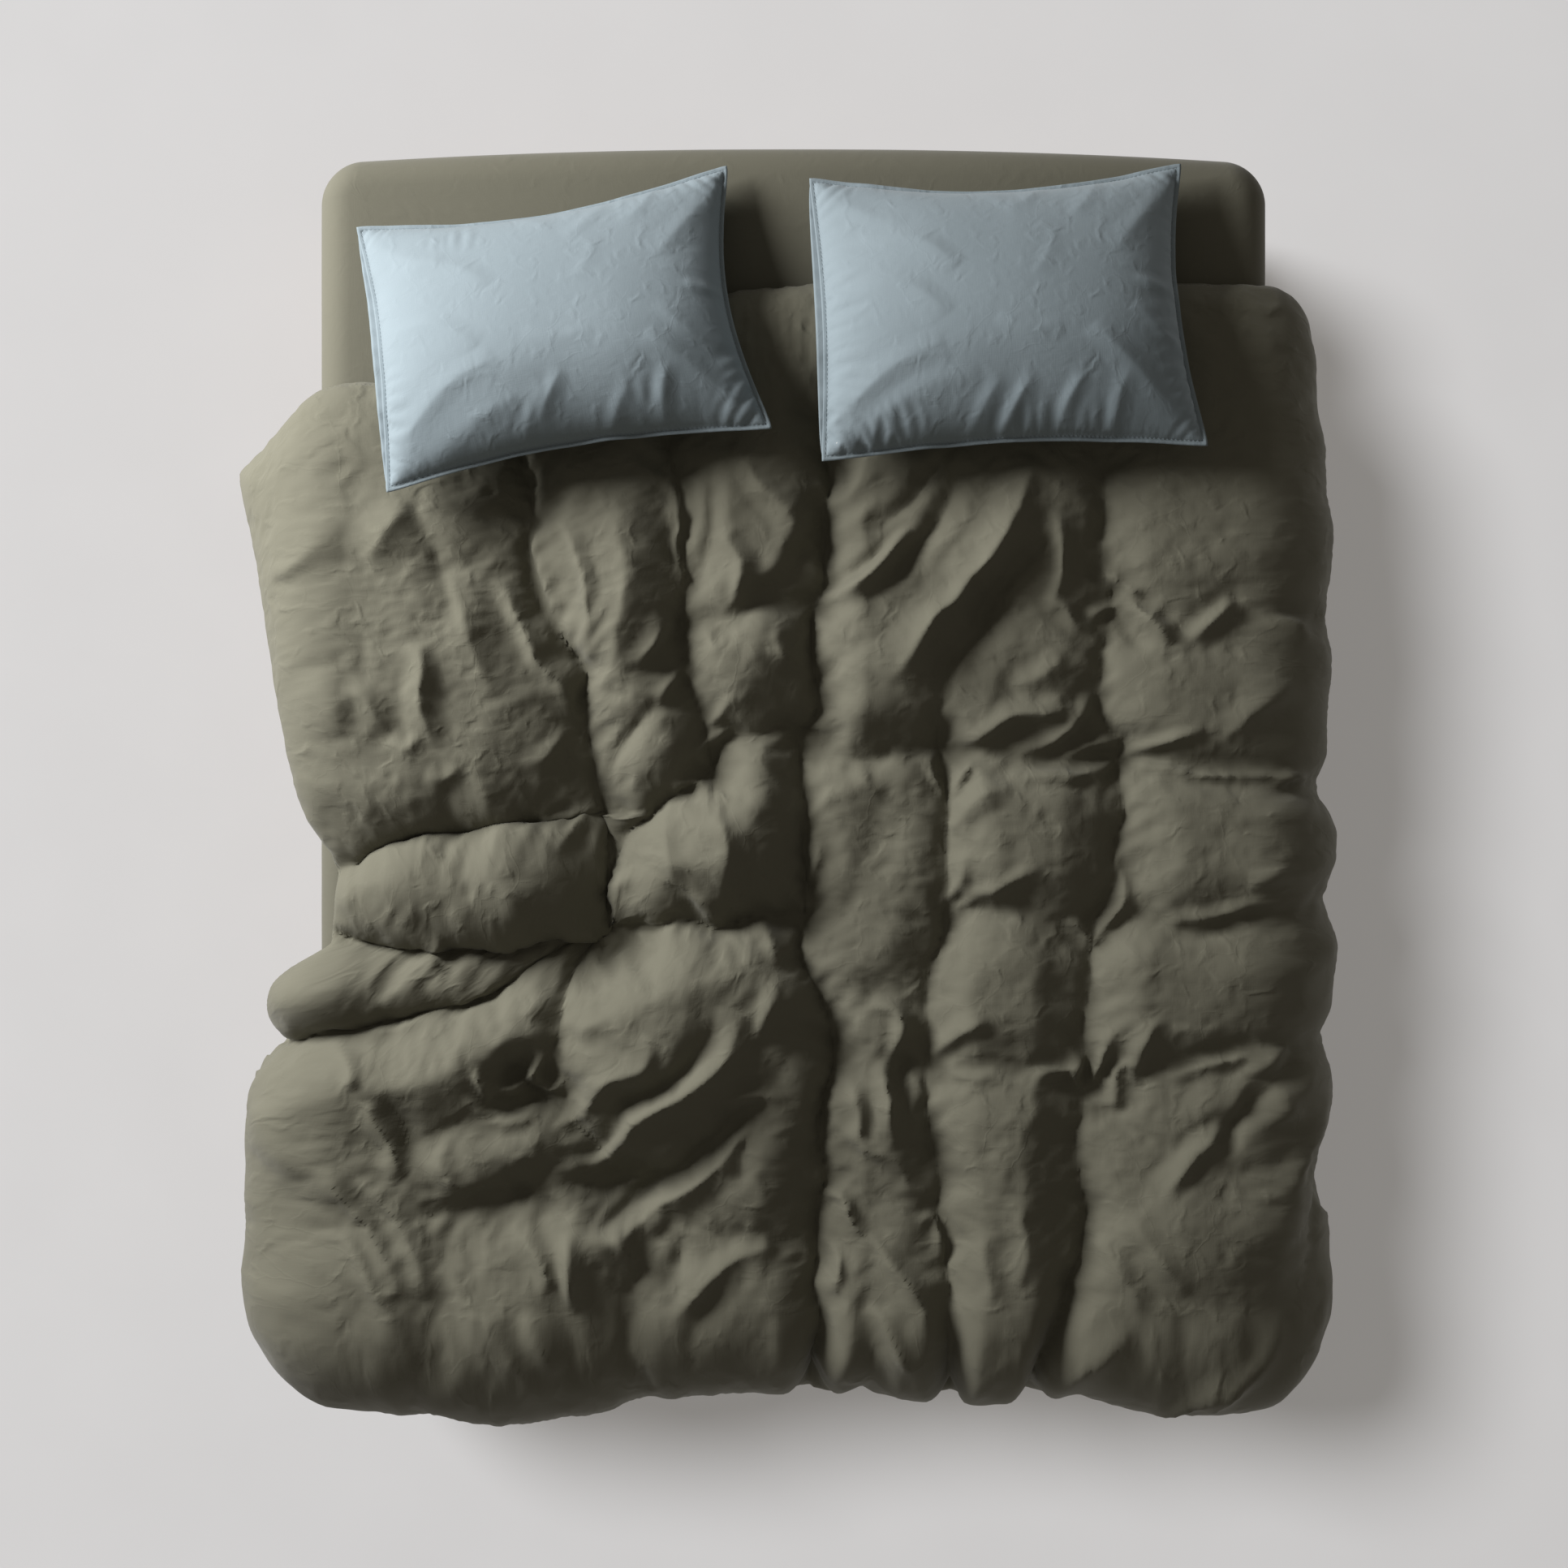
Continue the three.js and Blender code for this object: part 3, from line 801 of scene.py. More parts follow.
def puff(
    cloth: Cloth, base: Array, normals: Array, height: Array, ideal: Array, held: Array, floor: Array, how: Puffing
) -> Array:
    """Pushes the cloth out along its own normals and lets its threads pull back, over and over.

    Args:
        cloth: the cloth, where it starts.
        base: the underside below each point.
        normals: the underside's normals.
        height: how thick the filling is there.
        ideal: where each point would lie with no folds.
        held: how strongly seams and creases hold it to that, from 0 to 1.
        floor: the least it may stand off the underside.
        how: the settings.

    Returns:
        The settled points.
    """
    base, normals, ideal = (a.astype(np.float32) for a in (base, normals, ideal))
    held = held.astype(np.float32)[..., None]
    cap = height + how.over
    speed = np.zeros_like(cloth.points)
    for _ in range(how.steps):
        before = cloth.points.copy()
        off = np.einsum("ijk,ijk->ij", cloth.points - base, normals)
        push = how.press * np.clip((cap - off) / how.over, -1, 1)
        cloth.points += 0.85 * speed + grid_normals(cloth.points) * push[..., None]
        for _ in range(how.pulls):
            cloth.relax()
            cloth.points += (ideal - cloth.points) * held
        drift = ideal - cloth.points
        drift -= np.einsum("ijk,ijk->ij", drift, normals)[..., None] * normals
        cloth.points += np.float32(0.02) * drift
        off = np.einsum("ijk,ijk->ij", cloth.points - base, normals)
        lift = np.clip(floor - off, 0, None) - np.clip(off - cap, 0, None)
        cloth.points += lift[..., None].astype(np.float32) * normals
        speed = cloth.points - before
    return cloth.points


CREASES = {
    # The middle seam and the two seams of the right half, from the pillows to the foot.
    "middle": Crease(
        [(0.06, 0.52), (0.055, 0.41), (0.042, 0.275), (0.029, 0.196), (0.033, 0.077), (0.016, -0.042),
         (0.016, -0.293),
         (0.013, -0.372), (0.055, -0.491), (0.045, -0.649), (0.036, -0.781), (0.033, -0.914), (0.036, -1.09)],
        0.030, 0.09, 0.10, 0.9, 1, -0.012),
    "inner_right": Crease(
        [(0.24, -0.028), (0.247, -0.055), (0.251, -0.174), (0.254, -0.253), (0.247, -0.319), (0.214, -0.425),
         (0.22, -0.517), (0.227, -0.649), (0.24, -0.781), (0.247, -0.966), (0.26, -1.09)],
        0.046, 0.08, 0.085, 1, 0.9, -0.012),
    "outer_right": Crease(
        [(0.511, 0.45), (0.504, 0.275), (0.511, 0.223), (0.511, 0.051), (0.538, -0.028), (0.535, -0.174),
         (0.518, -0.253), (0.491, -0.346), (0.478, -0.451), (0.478, -0.557), (0.465, -0.715), (0.452, -0.914),
         (0.412, -1.046), (0.4, -1.09)],
        0.046, 0.09, 0.09, 0.7, 0.9, 0.012),
    # The seams across the right half.
    "first_across": Crease(
        [(0.016, -0.042), (0.135, -0.035), (0.24, -0.028), (0.538, -0.035), (0.663, -0.048), (0.8, -0.066),
         (0.89, -0.09)],
        0.064, 0.085, 0.09, 1, 0.7),
    "second_across": Crease(
        [(0.016, -0.286), (0.247, -0.293), (0.359, -0.286), (0.491, -0.319), (0.557, -0.299), (0.663, -0.306),
         (0.822, -0.279), (0.89, -0.27)],
        0.068, 0.08, 0.085, 1, 0.6),
    "third_across": Crease(
        [(0.06, -0.515), (0.227, -0.53), (0.359, -0.53), (0.452, -0.544), (0.557, -0.557), (0.689, -0.53),
         (0.822, -0.504), (0.89, -0.5)],
        0.070, 0.08, 0.09, 0.9, 0.6),
    "by_the_pillow": Crease(
        [(0.28, 0.235), (0.4, 0.215), (0.511, 0.223), (0.6, 0.2), (0.7, 0.195), (0.8, 0.21), (0.89, 0.2)],
        0.07, 0.1, 0.1, 0.35, 0.5),
    # The deep folds of the left half, and the roll that lies across it.
    "left_valley": Crease(
        [(-0.47, 0.5), (-0.44, 0.407), (-0.42, 0.275), (-0.367, 0.13), (-0.348, 0.104), (-0.338, 0.011),
         (-0.315, -0.121), (-0.304, -0.174), (-0.312, -0.25), (-0.318, -0.322)],
        0.020, 0.09, 0.18, 0.85, 1, -0.012),
    "inner_valley": Crease(
        [(-0.2, 0.5), (-0.196, 0.381), (-0.176, 0.275), (-0.185, 0.196), (-0.176, 0.104), (-0.143, 0.011),
         (-0.13, -0.068)],
        0.036, 0.08, 0.08, 0.8, 0.9, -0.008),
    "slanting": Crease(
        [(0.029, 0.011), (-0.035, 0.02), (-0.097, -0.002), (-0.143, -0.055), (-0.235, -0.134), (-0.301, -0.213)],
        0.022, 0.1, 0.09, 0.5, 1, 0.012),
    "short_across": Crease(
        [(-0.18, 0.185), (-0.12, 0.185), (-0.06, 0.21), (0.0, 0.225), (0.04, 0.21)], 0.06, 0.06, 0.06, 0.5, 0.7),
    "over_the_roll": Crease(
        [(-0.8, -0.23), (-0.724, -0.207), (-0.605, -0.174), (-0.5, -0.154), (-0.4, -0.146), (-0.315, -0.134)],
        0.016, 0.13, 0.08, 1, 1, -0.028),
    "under_the_roll": Crease(
        [(-0.8, -0.322), (-0.737, -0.332), (-0.572, -0.352), (-0.447, -0.339), (-0.308, -0.319)],
        0.012, 0.1, 0.12, 1, 1, 0.015),
    "to_the_middle": Crease([(-0.321, -0.326), (-0.169, -0.306), (0.009, -0.286)], 0.03),
    "round_the_lobe": Crease(
        [(-0.321, -0.326), (-0.367, -0.398), (-0.394, -0.504), (-0.447, -0.557)],
        0.03, 0.11, 0.08, 1, 0.2, 0.012),
    "left_of_the_knot": Crease(
        [(-0.9, -0.51), (-0.836, -0.504), (-0.724, -0.478), (-0.552, -0.438), (-0.433, -0.372), (-0.321, -0.326)],
        0.014, 0.1, 0.12, 0.9, 1, 0.012),
    # The lower left, with two knots of puckers.
    "down_from_the_knot": Crease(
        [(-0.447, -0.557), (-0.4, -0.6), (-0.33, -0.66), (-0.28, -0.73), (-0.25, -0.83), (-0.27, -0.95),
         (-0.25, -1.09)],
        0.04, 0.12, 0.12, 0.9, 0.12),
    "into_the_knot": Crease(
        [(-0.8, -0.7), (-0.66, -0.66), (-0.52, -0.63), (-0.41, -0.585)],
        0.055, 0.12, 0.12, 0.1, 0.7),
    "up_from_the_knot": Crease(
        [(-0.28, -0.73), (-0.18, -0.7), (-0.08, -0.62), (0, -0.5)], 0.06, 0.1, 0.1, 0.8, 0.4),
    "out_of_the_knot": Crease(
        [(-0.28, -0.73), (-0.17, -0.8), (-0.07, -0.83), (0.02, -0.82)], 0.06, 0.1, 0.1, 0.8, 0.4),
    "across_the_lobes": Crease(
        [(-0.9, -0.8), (-0.86, -0.8), (-0.7, -0.79), (-0.5, -0.76), (-0.28, -0.73)],
        0.05, 0.13, 0.13, 0.12, 0.8),
    "left_foot": Crease(
        [(-0.6, -1.09), (-0.62, -1.05), (-0.58, -0.93), (-0.5, -0.84), (-0.4, -0.77)],
        0.07, 0.12, 0.12, 0.1, 0.35),
    # The foot of the right half.
    "right_foot": Crease(
        [(0.9, -0.73), (0.86, -0.8), (0.84, -0.87), (0.8, -0.95)],
        0.04, 0.1, 0.1, 0.75, 0.2),
    "right_side": Crease(
        [(0.478, -0.6), (0.6, -0.66), (0.72, -0.7), (0.85, -0.69)],
        0.065, 0.12, 0.12, 0.4, 0.5),
    "narrow_foot": Crease(
        [(0.12, -1.09), (0.13, -1.05), (0.12, -0.95), (0.13, -0.8), (0.1, -0.66)], 0.06, 0.07, 0.07, 0.4, 0.3),
}

# Where the filling has shifted: place, reach and how much higher the duvet stands there, in metres.
SHIFTED_DOWN = (
    ((0.13, -0.16), 0.12, -0.038),
    ((0.13, -0.40), 0.11, -0.034),
    ((0.14, -0.72), 0.13, -0.024),
    ((-0.20, -0.45), 0.16, 0.034),
    ((-0.10, -0.17), 0.10, 0.020),
    ((-0.08, 0.10), 0.09, 0.012),
    ((0.12, 0.10), 0.12, 0.020),
    ((-0.62, 0.12), 0.20, 0.014),
    ((-0.28, 0.22), 0.08, 0.012),
    ((0.38, 0.10), 0.11, -0.018),
    ((0.36, -0.17), 0.11, 0.004),
    ((0.66, -0.16), 0.12, 0.008),
    ((0.62, 0.08), 0.12, 0.008),
    ((0.68, -0.40), 0.12, 0.010),
    ((0.34, -0.75), 0.15, 0.012),
    ((0.66, -0.85), 0.18, 0.020),
    ((-0.12, -0.92), 0.14, -0.010),
    ((-0.62, -0.60), 0.14, 0.008),
    ((-0.46, -0.56), 0.09, 0.030),
    ((-0.70, -0.92), 0.16, 0.016),
)

# Small folds, by the part of the bed they lie on.
RUCKS = (
    # Left, by the pillow.
    Ruck([(-0.615, 0.16), (-0.6, 0.1), (-0.59, 0.03), (-0.583, -0.02)], 0.022, 0.03, 0.045),
    Ruck([(-0.765, 0.11), (-0.745, 0.05), (-0.73, 0.0)], 0.014),
    Ruck([(-0.73, 0.07), (-0.69, 0.06), (-0.665, 0.01)], 0.012),
    Ruck([(-0.665, 0.0), (-0.63, -0.02), (-0.6, 0.0)], 0.010),
    Ruck([(-0.6, -0.06), (-0.57, -0.07), (-0.54, -0.05)], 0.008, 0.025, 0.025),
    Ruck([(-0.7, 0.28), (-0.66, 0.33), (-0.615, 0.37)], 0.018, 0.05, 0.05),
    Ruck([(-0.61, 0.38), (-0.6, 0.32), (-0.575, 0.24), (-0.555, 0.18)], -0.014, 0.04, 0.04),
    Ruck([(-0.83, 0.25), (-0.79, 0.3), (-0.75, 0.36)], 0.012, 0.05, 0.05),
    Ruck([(-0.57, 0.27), (-0.54, 0.18), (-0.51, 0.12), (-0.49, 0.07)], 0.012, 0.05, 0.04),
    Ruck([(-0.49, 0.26), (-0.44, 0.165), (-0.4, 0.1), (-0.362, 0.06)], 0.022, 0.05, 0.022),
    Ruck([(-0.45, 0.42), (-0.42, 0.3), (-0.395, 0.2), (-0.366, 0.135)], 0.018, 0.03, 0.02),
    Ruck([(-0.385, 0.37), (-0.35, 0.31), (-0.34, 0.22), (-0.345, 0.1)], 0.018, 0.03, 0.015),
    Ruck([(-0.29, 0.36), (-0.27, 0.27), (-0.29, 0.17), (-0.31, 0.08)], 0.012, 0.05, 0.05),
    Ruck([(-0.2, 0.21), (-0.225, 0.15), (-0.247, 0.11)], 0.020, 0.018, 0.035),
    Ruck([(-0.235, 0.065), (-0.255, 0.03), (-0.29, -0.03), (-0.3, -0.1)], -0.022, 0.035, 0.035),
    Ruck([(-0.17, 0.12), (-0.2, 0.09), (-0.23, 0.055)], 0.014, 0.02, 0.03),
    Ruck([(-0.45, -0.04), (-0.42, -0.03), (-0.38, 0.02)], 0.010, 0.03, 0.03),
    # Between the inner valley and the middle seam.
    Ruck([(-0.212, 0.46), (-0.198, 0.38), (-0.185, 0.3), (-0.176, 0.24)], 0.020, 0.015, 0.02),
    Ruck([(-0.14, 0.46), (-0.132, 0.37), (-0.14, 0.3), (-0.165, 0.23)], -0.020, 0.03, 0.025),
    Ruck([(-0.12, 0.34), (-0.09, 0.26), (-0.095, 0.215), (-0.125, 0.19)], 0.016, 0.03, 0.02),
    Ruck([(0.03, 0.41), (0.015, 0.33), (-0.02, 0.26), (-0.075, 0.215)], -0.022, 0.035, 0.03),
    Ruck([(-0.1, 0.48), (-0.06, 0.43), (-0.02, 0.36), (0.0, 0.3)], 0.014, 0.04, 0.03),
    Ruck([(-0.04, 0.17), (-0.02, 0.13), (0.02, 0.095)], 0.016, 0.03, 0.022),
    Ruck([(-0.15, 0.18), (-0.125, 0.14), (-0.11, 0.16)], 0.012, 0.02, 0.02),
    Ruck([(-0.165, -0.03), (-0.13, -0.005), (-0.095, -0.005)], 0.016, 0.018, 0.025),
    Ruck([(-0.2, -0.085), (-0.16, -0.065), (-0.13, -0.1)], 0.016, 0.02, 0.025),
    Ruck([(-0.15, 0.02), (-0.12, 0.03), (-0.1, 0.07)], 0.010, 0.02, 0.02),
    Ruck([(-0.125, -0.03), (-0.115, -0.12), (-0.11, -0.2), (-0.125, -0.27)], 0.018, 0.035, 0.06),
    Ruck([(-0.19, -0.1), (-0.205, -0.17), (-0.19, -0.25)], 0.012, 0.03, 0.03),
    Ruck([(-0.25, -0.16), (-0.27, -0.22), (-0.29, -0.29)], 0.012, 0.03, 0.03),
    Ruck([(-0.17, -0.265), (-0.14, -0.27), (-0.12, -0.29)], 0.012, 0.02, 0.02),
    Ruck([(-0.05, -0.3), (-0.04, -0.34), (-0.03, -0.38)], 0.014, 0.02, 0.02),
    # The roll and its ends.
    Ruck([(-0.42, -0.145), (-0.36, -0.13), (-0.32, -0.115)], 0.014, 0.015, 0.025),
    Ruck([(-0.4, -0.2), (-0.36, -0.16), (-0.325, -0.13)], 0.014, 0.02, 0.02),
    Ruck([(-0.62, -0.352), (-0.59, -0.343), (-0.57, -0.322)], 0.016, 0.018, 0.018),
    Ruck([(-0.615, -0.352), (-0.59, -0.37), (-0.57, -0.385)], 0.014, 0.018, 0.018),
    Ruck([(-0.5, -0.22), (-0.46, -0.26), (-0.44, -0.3)], 0.008, 0.04, 0.04),
    Ruck([(-0.735, -0.2), (-0.74, -0.25), (-0.725, -0.29)], 0.014, 0.02, 0.02),
    # The lower left.
    Ruck([(-0.8, -0.485), (-0.7, -0.482), (-0.62, -0.47), (-0.55, -0.43), (-0.48, -0.385)], 0.014, 0.02, 0.02),
    Ruck([(-0.44, -0.46), (-0.43, -0.42), (-0.47, -0.4)], 0.010, 0.03, 0.03),
    Ruck([(-0.74, -0.49), (-0.72, -0.53), (-0.705, -0.57)], 0.014, 0.025, 0.025),
    Ruck([(-0.685, -0.59), (-0.66, -0.65), (-0.63, -0.705)], 0.020, 0.035, 0.03),
    Ruck([(-0.655, -0.57), (-0.635, -0.63), (-0.615, -0.69)], -0.012, 0.03, 0.03),
    Ruck([(-0.845, -0.59), (-0.83, -0.66), (-0.8, -0.715)], 0.014),
    Ruck([(-0.78, -0.65), (-0.745, -0.72), (-0.7, -0.78), (-0.655, -0.84), (-0.62, -0.9)], 0.018, 0.035, 0.03),
    Ruck([(-0.81, -0.75), (-0.75, -0.79), (-0.7, -0.85), (-0.64, -0.92), (-0.58, -0.98)], 0.014, 0.04, 0.03),
    Ruck([(-0.7, -0.71), (-0.65, -0.77), (-0.605, -0.84), (-0.59, -0.9)], 0.016, 0.035, 0.025),
    Ruck([(-0.57, -0.85), (-0.53, -0.92), (-0.46, -0.99), (-0.4, -1.03)], 0.014, 0.04, 0.035),
    Ruck([(-0.52, -0.54), (-0.502, -0.575), (-0.485, -0.6)], 0.020, 0.02, 0.02),
    Ruck([(-0.5, -0.555), (-0.47, -0.577), (-0.44, -0.56), (-0.405, -0.51)], 0.026, 0.024, 0.024),
    Ruck([(-0.435, -0.535), (-0.41, -0.57), (-0.375, -0.577)], 0.020, 0.018, 0.018),
    Ruck([(-0.54, -0.595), (-0.49, -0.622), (-0.44, -0.622), (-0.415, -0.59)], 0.016, 0.02, 0.02),
    Ruck([(-0.58, -0.66), (-0.56, -0.7), (-0.52, -0.73)], 0.012, 0.03, 0.03),
    # The long slanting folds of the big lobe.
    Ruck([(-0.35, -0.5), (-0.33, -0.47), (-0.3, -0.45)], 0.012, 0.03, 0.03),
    Ruck([(-0.4, -0.64), (-0.345, -0.615), (-0.3, -0.565), (-0.245, -0.525), (-0.23, -0.485)], 0.016, 0.03, 0.022),
    Ruck([(-0.4, -0.685), (-0.33, -0.675), (-0.29, -0.63), (-0.255, -0.585), (-0.185, -0.55), (-0.145, -0.49),
          (-0.12, -0.42)], -0.030, 0.035, 0.028),
    Ruck([(-0.4, -0.72), (-0.33, -0.7), (-0.275, -0.645), (-0.235, -0.605), (-0.17, -0.575), (-0.115, -0.52),
          (-0.085, -0.44)], 0.022, 0.03, 0.05),
    Ruck([(-0.34, -0.8), (-0.28, -0.775), (-0.21, -0.715), (-0.15, -0.665), (-0.1, -0.625), (-0.04, -0.59)], -0.028,
         0.035, 0.022),
    Ruck([(-0.34, -0.815), (-0.28, -0.812), (-0.205, -0.755), (-0.14, -0.705), (-0.09, -0.655), (-0.045, -0.62)],
         0.022, 0.022, 0.04),
    Ruck([(-0.09, -0.74), (-0.085, -0.68), (-0.06, -0.62)], -0.014, 0.03, 0.03),
    Ruck([(-0.12, -0.6), (-0.07, -0.582), (-0.025, -0.585)], 0.014, 0.02, 0.025),
    Ruck([(-0.06, -0.5), (-0.04, -0.44), (-0.035, -0.38)], 0.016, 0.02, 0.03),
    # Round the lower knot.
    Ruck([(-0.46, -0.79), (-0.415, -0.84), (-0.387, -0.895)], 0.020, 0.03, 0.025),
    Ruck([(-0.362, -0.8), (-0.358, -0.86), (-0.35, -0.93)], 0.022, 0.035, 0.022),
    Ruck([(-0.3, -0.8), (-0.275, -0.835), (-0.255, -0.855)], 0.016, 0.022, 0.025),
    Ruck([(-0.44, -0.94), (-0.41, -0.97), (-0.375, -1.01)], 0.014, 0.03, 0.025),
    Ruck([(-0.175, -0.81), (-0.185, -0.86), (-0.22, -0.9)], -0.016, 0.03, 0.03),
    Ruck([(-0.19, -0.94), (-0.15, -0.895), (-0.1, -0.855), (-0.02, -0.83)], 0.016, 0.03, 0.03),
    Ruck([(-0.19, -1.0), (-0.15, -0.94), (-0.11, -0.9)], -0.012, 0.03, 0.03),
    Ruck([(-0.55, -0.742), (-0.47, -0.746), (-0.41, -0.762), (-0.365, -0.785)], -0.018, 0.025, 0.025),
    # Right, by the pillow: soft folds that slant up to the right.
    Ruck([(0.03, 0.245), (0.08, 0.268), (0.14, 0.312), (0.195, 0.36)], -0.018, 0.022, 0.018),
    Ruck([(0.02, 0.222), (0.08, 0.243), (0.14, 0.288), (0.195, 0.345)], 0.020, 0.015, 0.03),
    Ruck([(0.1, 0.305), (0.16, 0.355), (0.22, 0.42), (0.26, 0.48)], -0.016, 0.03, 0.02),
    Ruck([(0.11, 0.245), (0.17, 0.265), (0.205, 0.31), (0.245, 0.38), (0.28, 0.45)], -0.024, 0.03, 0.035),
    Ruck([(0.15, 0.09), (0.21, 0.165), (0.285, 0.255), (0.355, 0.355), (0.4, 0.45)], 0.034, 0.06, 0.045),
    Ruck([(0.215, -0.01), (0.25, 0.1), (0.295, 0.19), (0.35, 0.27), (0.42, 0.33)], -0.036, 0.05, 0.08),
    Ruck([(0.425, 0.37), (0.432, 0.28), (0.412, 0.205)], 0.014, 0.025, 0.02),
    Ruck([(0.41, 0.215), (0.44, 0.212), (0.47, 0.175)], 0.012, 0.02, 0.02),
    Ruck([(0.36, 0.07), (0.4, 0.1), (0.44, 0.14)], 0.010, 0.03, 0.03),
    Ruck([(0.26, -0.015), (0.31, 0.012), (0.4, 0.036), (0.47, 0.048)], 0.020, 0.035, 0.02),
    Ruck([(0.36, -0.03), (0.42, -0.008), (0.47, 0.03), (0.5, 0.08)], 0.020, 0.03, 0.022),
    Ruck([(0.03, 0.42), (0.06, 0.38), (0.1, 0.4), (0.12, 0.46)], 0.012, 0.03, 0.03),
    # Round the crossings of the right half.
    Ruck([(0.515, 0.225), (0.565, 0.2), (0.608, 0.15)], 0.022, 0.03, 0.02),
    Ruck([(0.505, 0.275), (0.54, 0.24), (0.57, 0.235)], 0.016, 0.02, 0.02),
    Ruck([(0.535, 0.19), (0.56, 0.16), (0.58, 0.14)], -0.010, 0.02, 0.02),
    Ruck([(0.48, 0.2), (0.505, 0.21), (0.53, 0.215)], 0.012, 0.015, 0.015),
    Ruck([(0.64, 0.155), (0.68, 0.19), (0.725, 0.225)], 0.018, 0.02, 0.03),
    Ruck([(0.78, 0.2), (0.82, 0.185), (0.84, 0.15)], 0.012, 0.02, 0.025),
    Ruck([(0.7, -0.0), (0.74, 0.05), (0.8, 0.1)], 0.012, 0.04, 0.03),
    Ruck([(0.54, -0.032), (0.5, -0.05), (0.44, -0.062), (0.35, -0.056)], 0.014, 0.018, 0.018),
    Ruck([(0.44, -0.03), (0.5, -0.01), (0.545, 0.005)], 0.016, 0.018, 0.02),
    Ruck([(0.55, -0.025), (0.61, -0.005), (0.665, 0.003)], 0.016, 0.018, 0.02),
    Ruck([(0.56, -0.04), (0.64, -0.055), (0.74, -0.055), (0.835, -0.055)], 0.016, 0.015, 0.02),
    Ruck([(0.79, -0.08), (0.82, -0.055), (0.85, -0.075)], 0.016, 0.02, 0.02),
    Ruck([(0.215, -0.033), (0.224, -0.062), (0.248, -0.095)], 0.018, 0.02, 0.016),
    Ruck([(0.295, -0.04), (0.278, -0.062), (0.258, -0.098)], 0.018, 0.016, 0.02),
    Ruck([(0.11, -0.055), (0.13, -0.085), (0.155, -0.095)], 0.010, 0.025, 0.025),
    Ruck([(0.258, -0.16), (0.29, -0.11), (0.35, -0.075)], 0.016, 0.03, 0.03),
    Ruck([(0.25, -0.27), (0.272, -0.23), (0.28, -0.19)], 0.016, 0.02, 0.02),
    Ruck([(0.27, -0.245), (0.34, -0.245), (0.4, -0.215)], 0.014, 0.025, 0.03),
    Ruck([(0.53, -0.2), (0.543, -0.265), (0.51, -0.32), (0.492, -0.35)], 0.020, 0.02, 0.03),
    Ruck([(0.44, -0.3), (0.475, -0.315), (0.495, -0.345)], 0.016, 0.02, 0.02),
    Ruck([(0.6, -0.295), (0.7, -0.29), (0.78, -0.268), (0.82, -0.28)], 0.014, 0.025, 0.02),
    Ruck([(0.73, -0.245), (0.76, -0.23), (0.79, -0.2)], 0.010, 0.025, 0.025),
    Ruck([(0.02, -0.24), (0.04, -0.2), (0.035, -0.15)], 0.012, 0.02, 0.02),
    Ruck([(0.22, -0.515), (0.26, -0.485), (0.315, -0.455)], 0.018, 0.03, 0.022),
    Ruck([(0.25, -0.535), (0.29, -0.545), (0.34, -0.54)], 0.012, 0.02, 0.025),
    Ruck([(0.39, -0.55), (0.435, -0.548), (0.472, -0.525)], 0.018, 0.018, 0.022),
    Ruck([(0.475, -0.51), (0.462, -0.555), (0.482, -0.59)], 0.018, 0.02, 0.02),
    Ruck([(0.49, -0.57), (0.51, -0.52), (0.535, -0.48)], 0.018, 0.02, 0.02),
    Ruck([(0.52, -0.605), (0.53, -0.56), (0.555, -0.53)], 0.014, 0.018, 0.018),
    Ruck([(0.555, -0.57), (0.57, -0.51), (0.59, -0.455)], 0.018, 0.02, 0.03),
    Ruck([(0.61, -0.565), (0.66, -0.545), (0.72, -0.528), (0.785, -0.5)], 0.016, 0.02, 0.02),
    Ruck([(0.75, -0.56), (0.77, -0.53), (0.785, -0.5)], 0.014, 0.02, 0.02),
    # The narrow column by the middle seam.
    Ruck([(0.13, -0.43), (0.17, -0.455), (0.165, -0.53)], 0.022, 0.025, 0.02),
    Ruck([(0.09, -0.55), (0.115, -0.63), (0.145, -0.665)], 0.016, 0.022, 0.022),
    Ruck([(0.15, -0.52), (0.155, -0.6), (0.163, -0.68)], 0.024, 0.018, 0.03),
    Ruck([(0.2, -0.52), (0.185, -0.57), (0.18, -0.62)], -0.018, 0.022, 0.022),
    Ruck([(0.06, -0.62), (0.12, -0.66), (0.17, -0.7), (0.185, -0.75)], 0.012, 0.025, 0.025),
    Ruck([(0.04, -0.735), (0.085, -0.755), (0.115, -0.81)], 0.020, 0.02, 0.018),
    Ruck([(0.055, -0.82), (0.072, -0.85), (0.065, -0.91)], 0.018, 0.018, 0.02),
    Ruck([(0.11, -0.79), (0.15, -0.84), (0.19, -0.9), (0.21, -0.96), (0.205, -1.02)], 0.016, 0.022, 0.022),
    Ruck([(0.13, -0.93), (0.16, -0.99), (0.2, -1.03)], 0.014, 0.02, 0.02),
    Ruck([(0.2, -0.79), (0.232, -0.79), (0.235, -0.86)], 0.016, 0.018, 0.018),
    # The foot of the right half.
    Ruck([(0.6, -0.73), (0.66, -0.68), (0.71, -0.63)], 0.020, 0.035, 0.03),
    Ruck([(0.69, -0.67), (0.725, -0.62), (0.77, -0.57), (0.81, -0.53)], -0.026, 0.022, 0.035),
    Ruck([(0.77, -0.56), (0.785, -0.6), (0.79, -0.64)], 0.012, 0.02, 0.02),
    Ruck([(0.87, -0.58), (0.85, -0.66), (0.82, -0.74), (0.8, -0.83)], 0.014, 0.025, 0.03),
    Ruck([(0.47, -0.76), (0.5, -0.82), (0.54, -0.89), (0.56, -0.94)], 0.012, 0.03, 0.03),
    Ruck([(0.54, -0.78), (0.59, -0.84), (0.63, -0.9)], 0.012, 0.035, 0.035),
    Ruck([(0.44, -1.05), (0.49, -1.01), (0.56, -0.99)], 0.014, 0.025, 0.025),
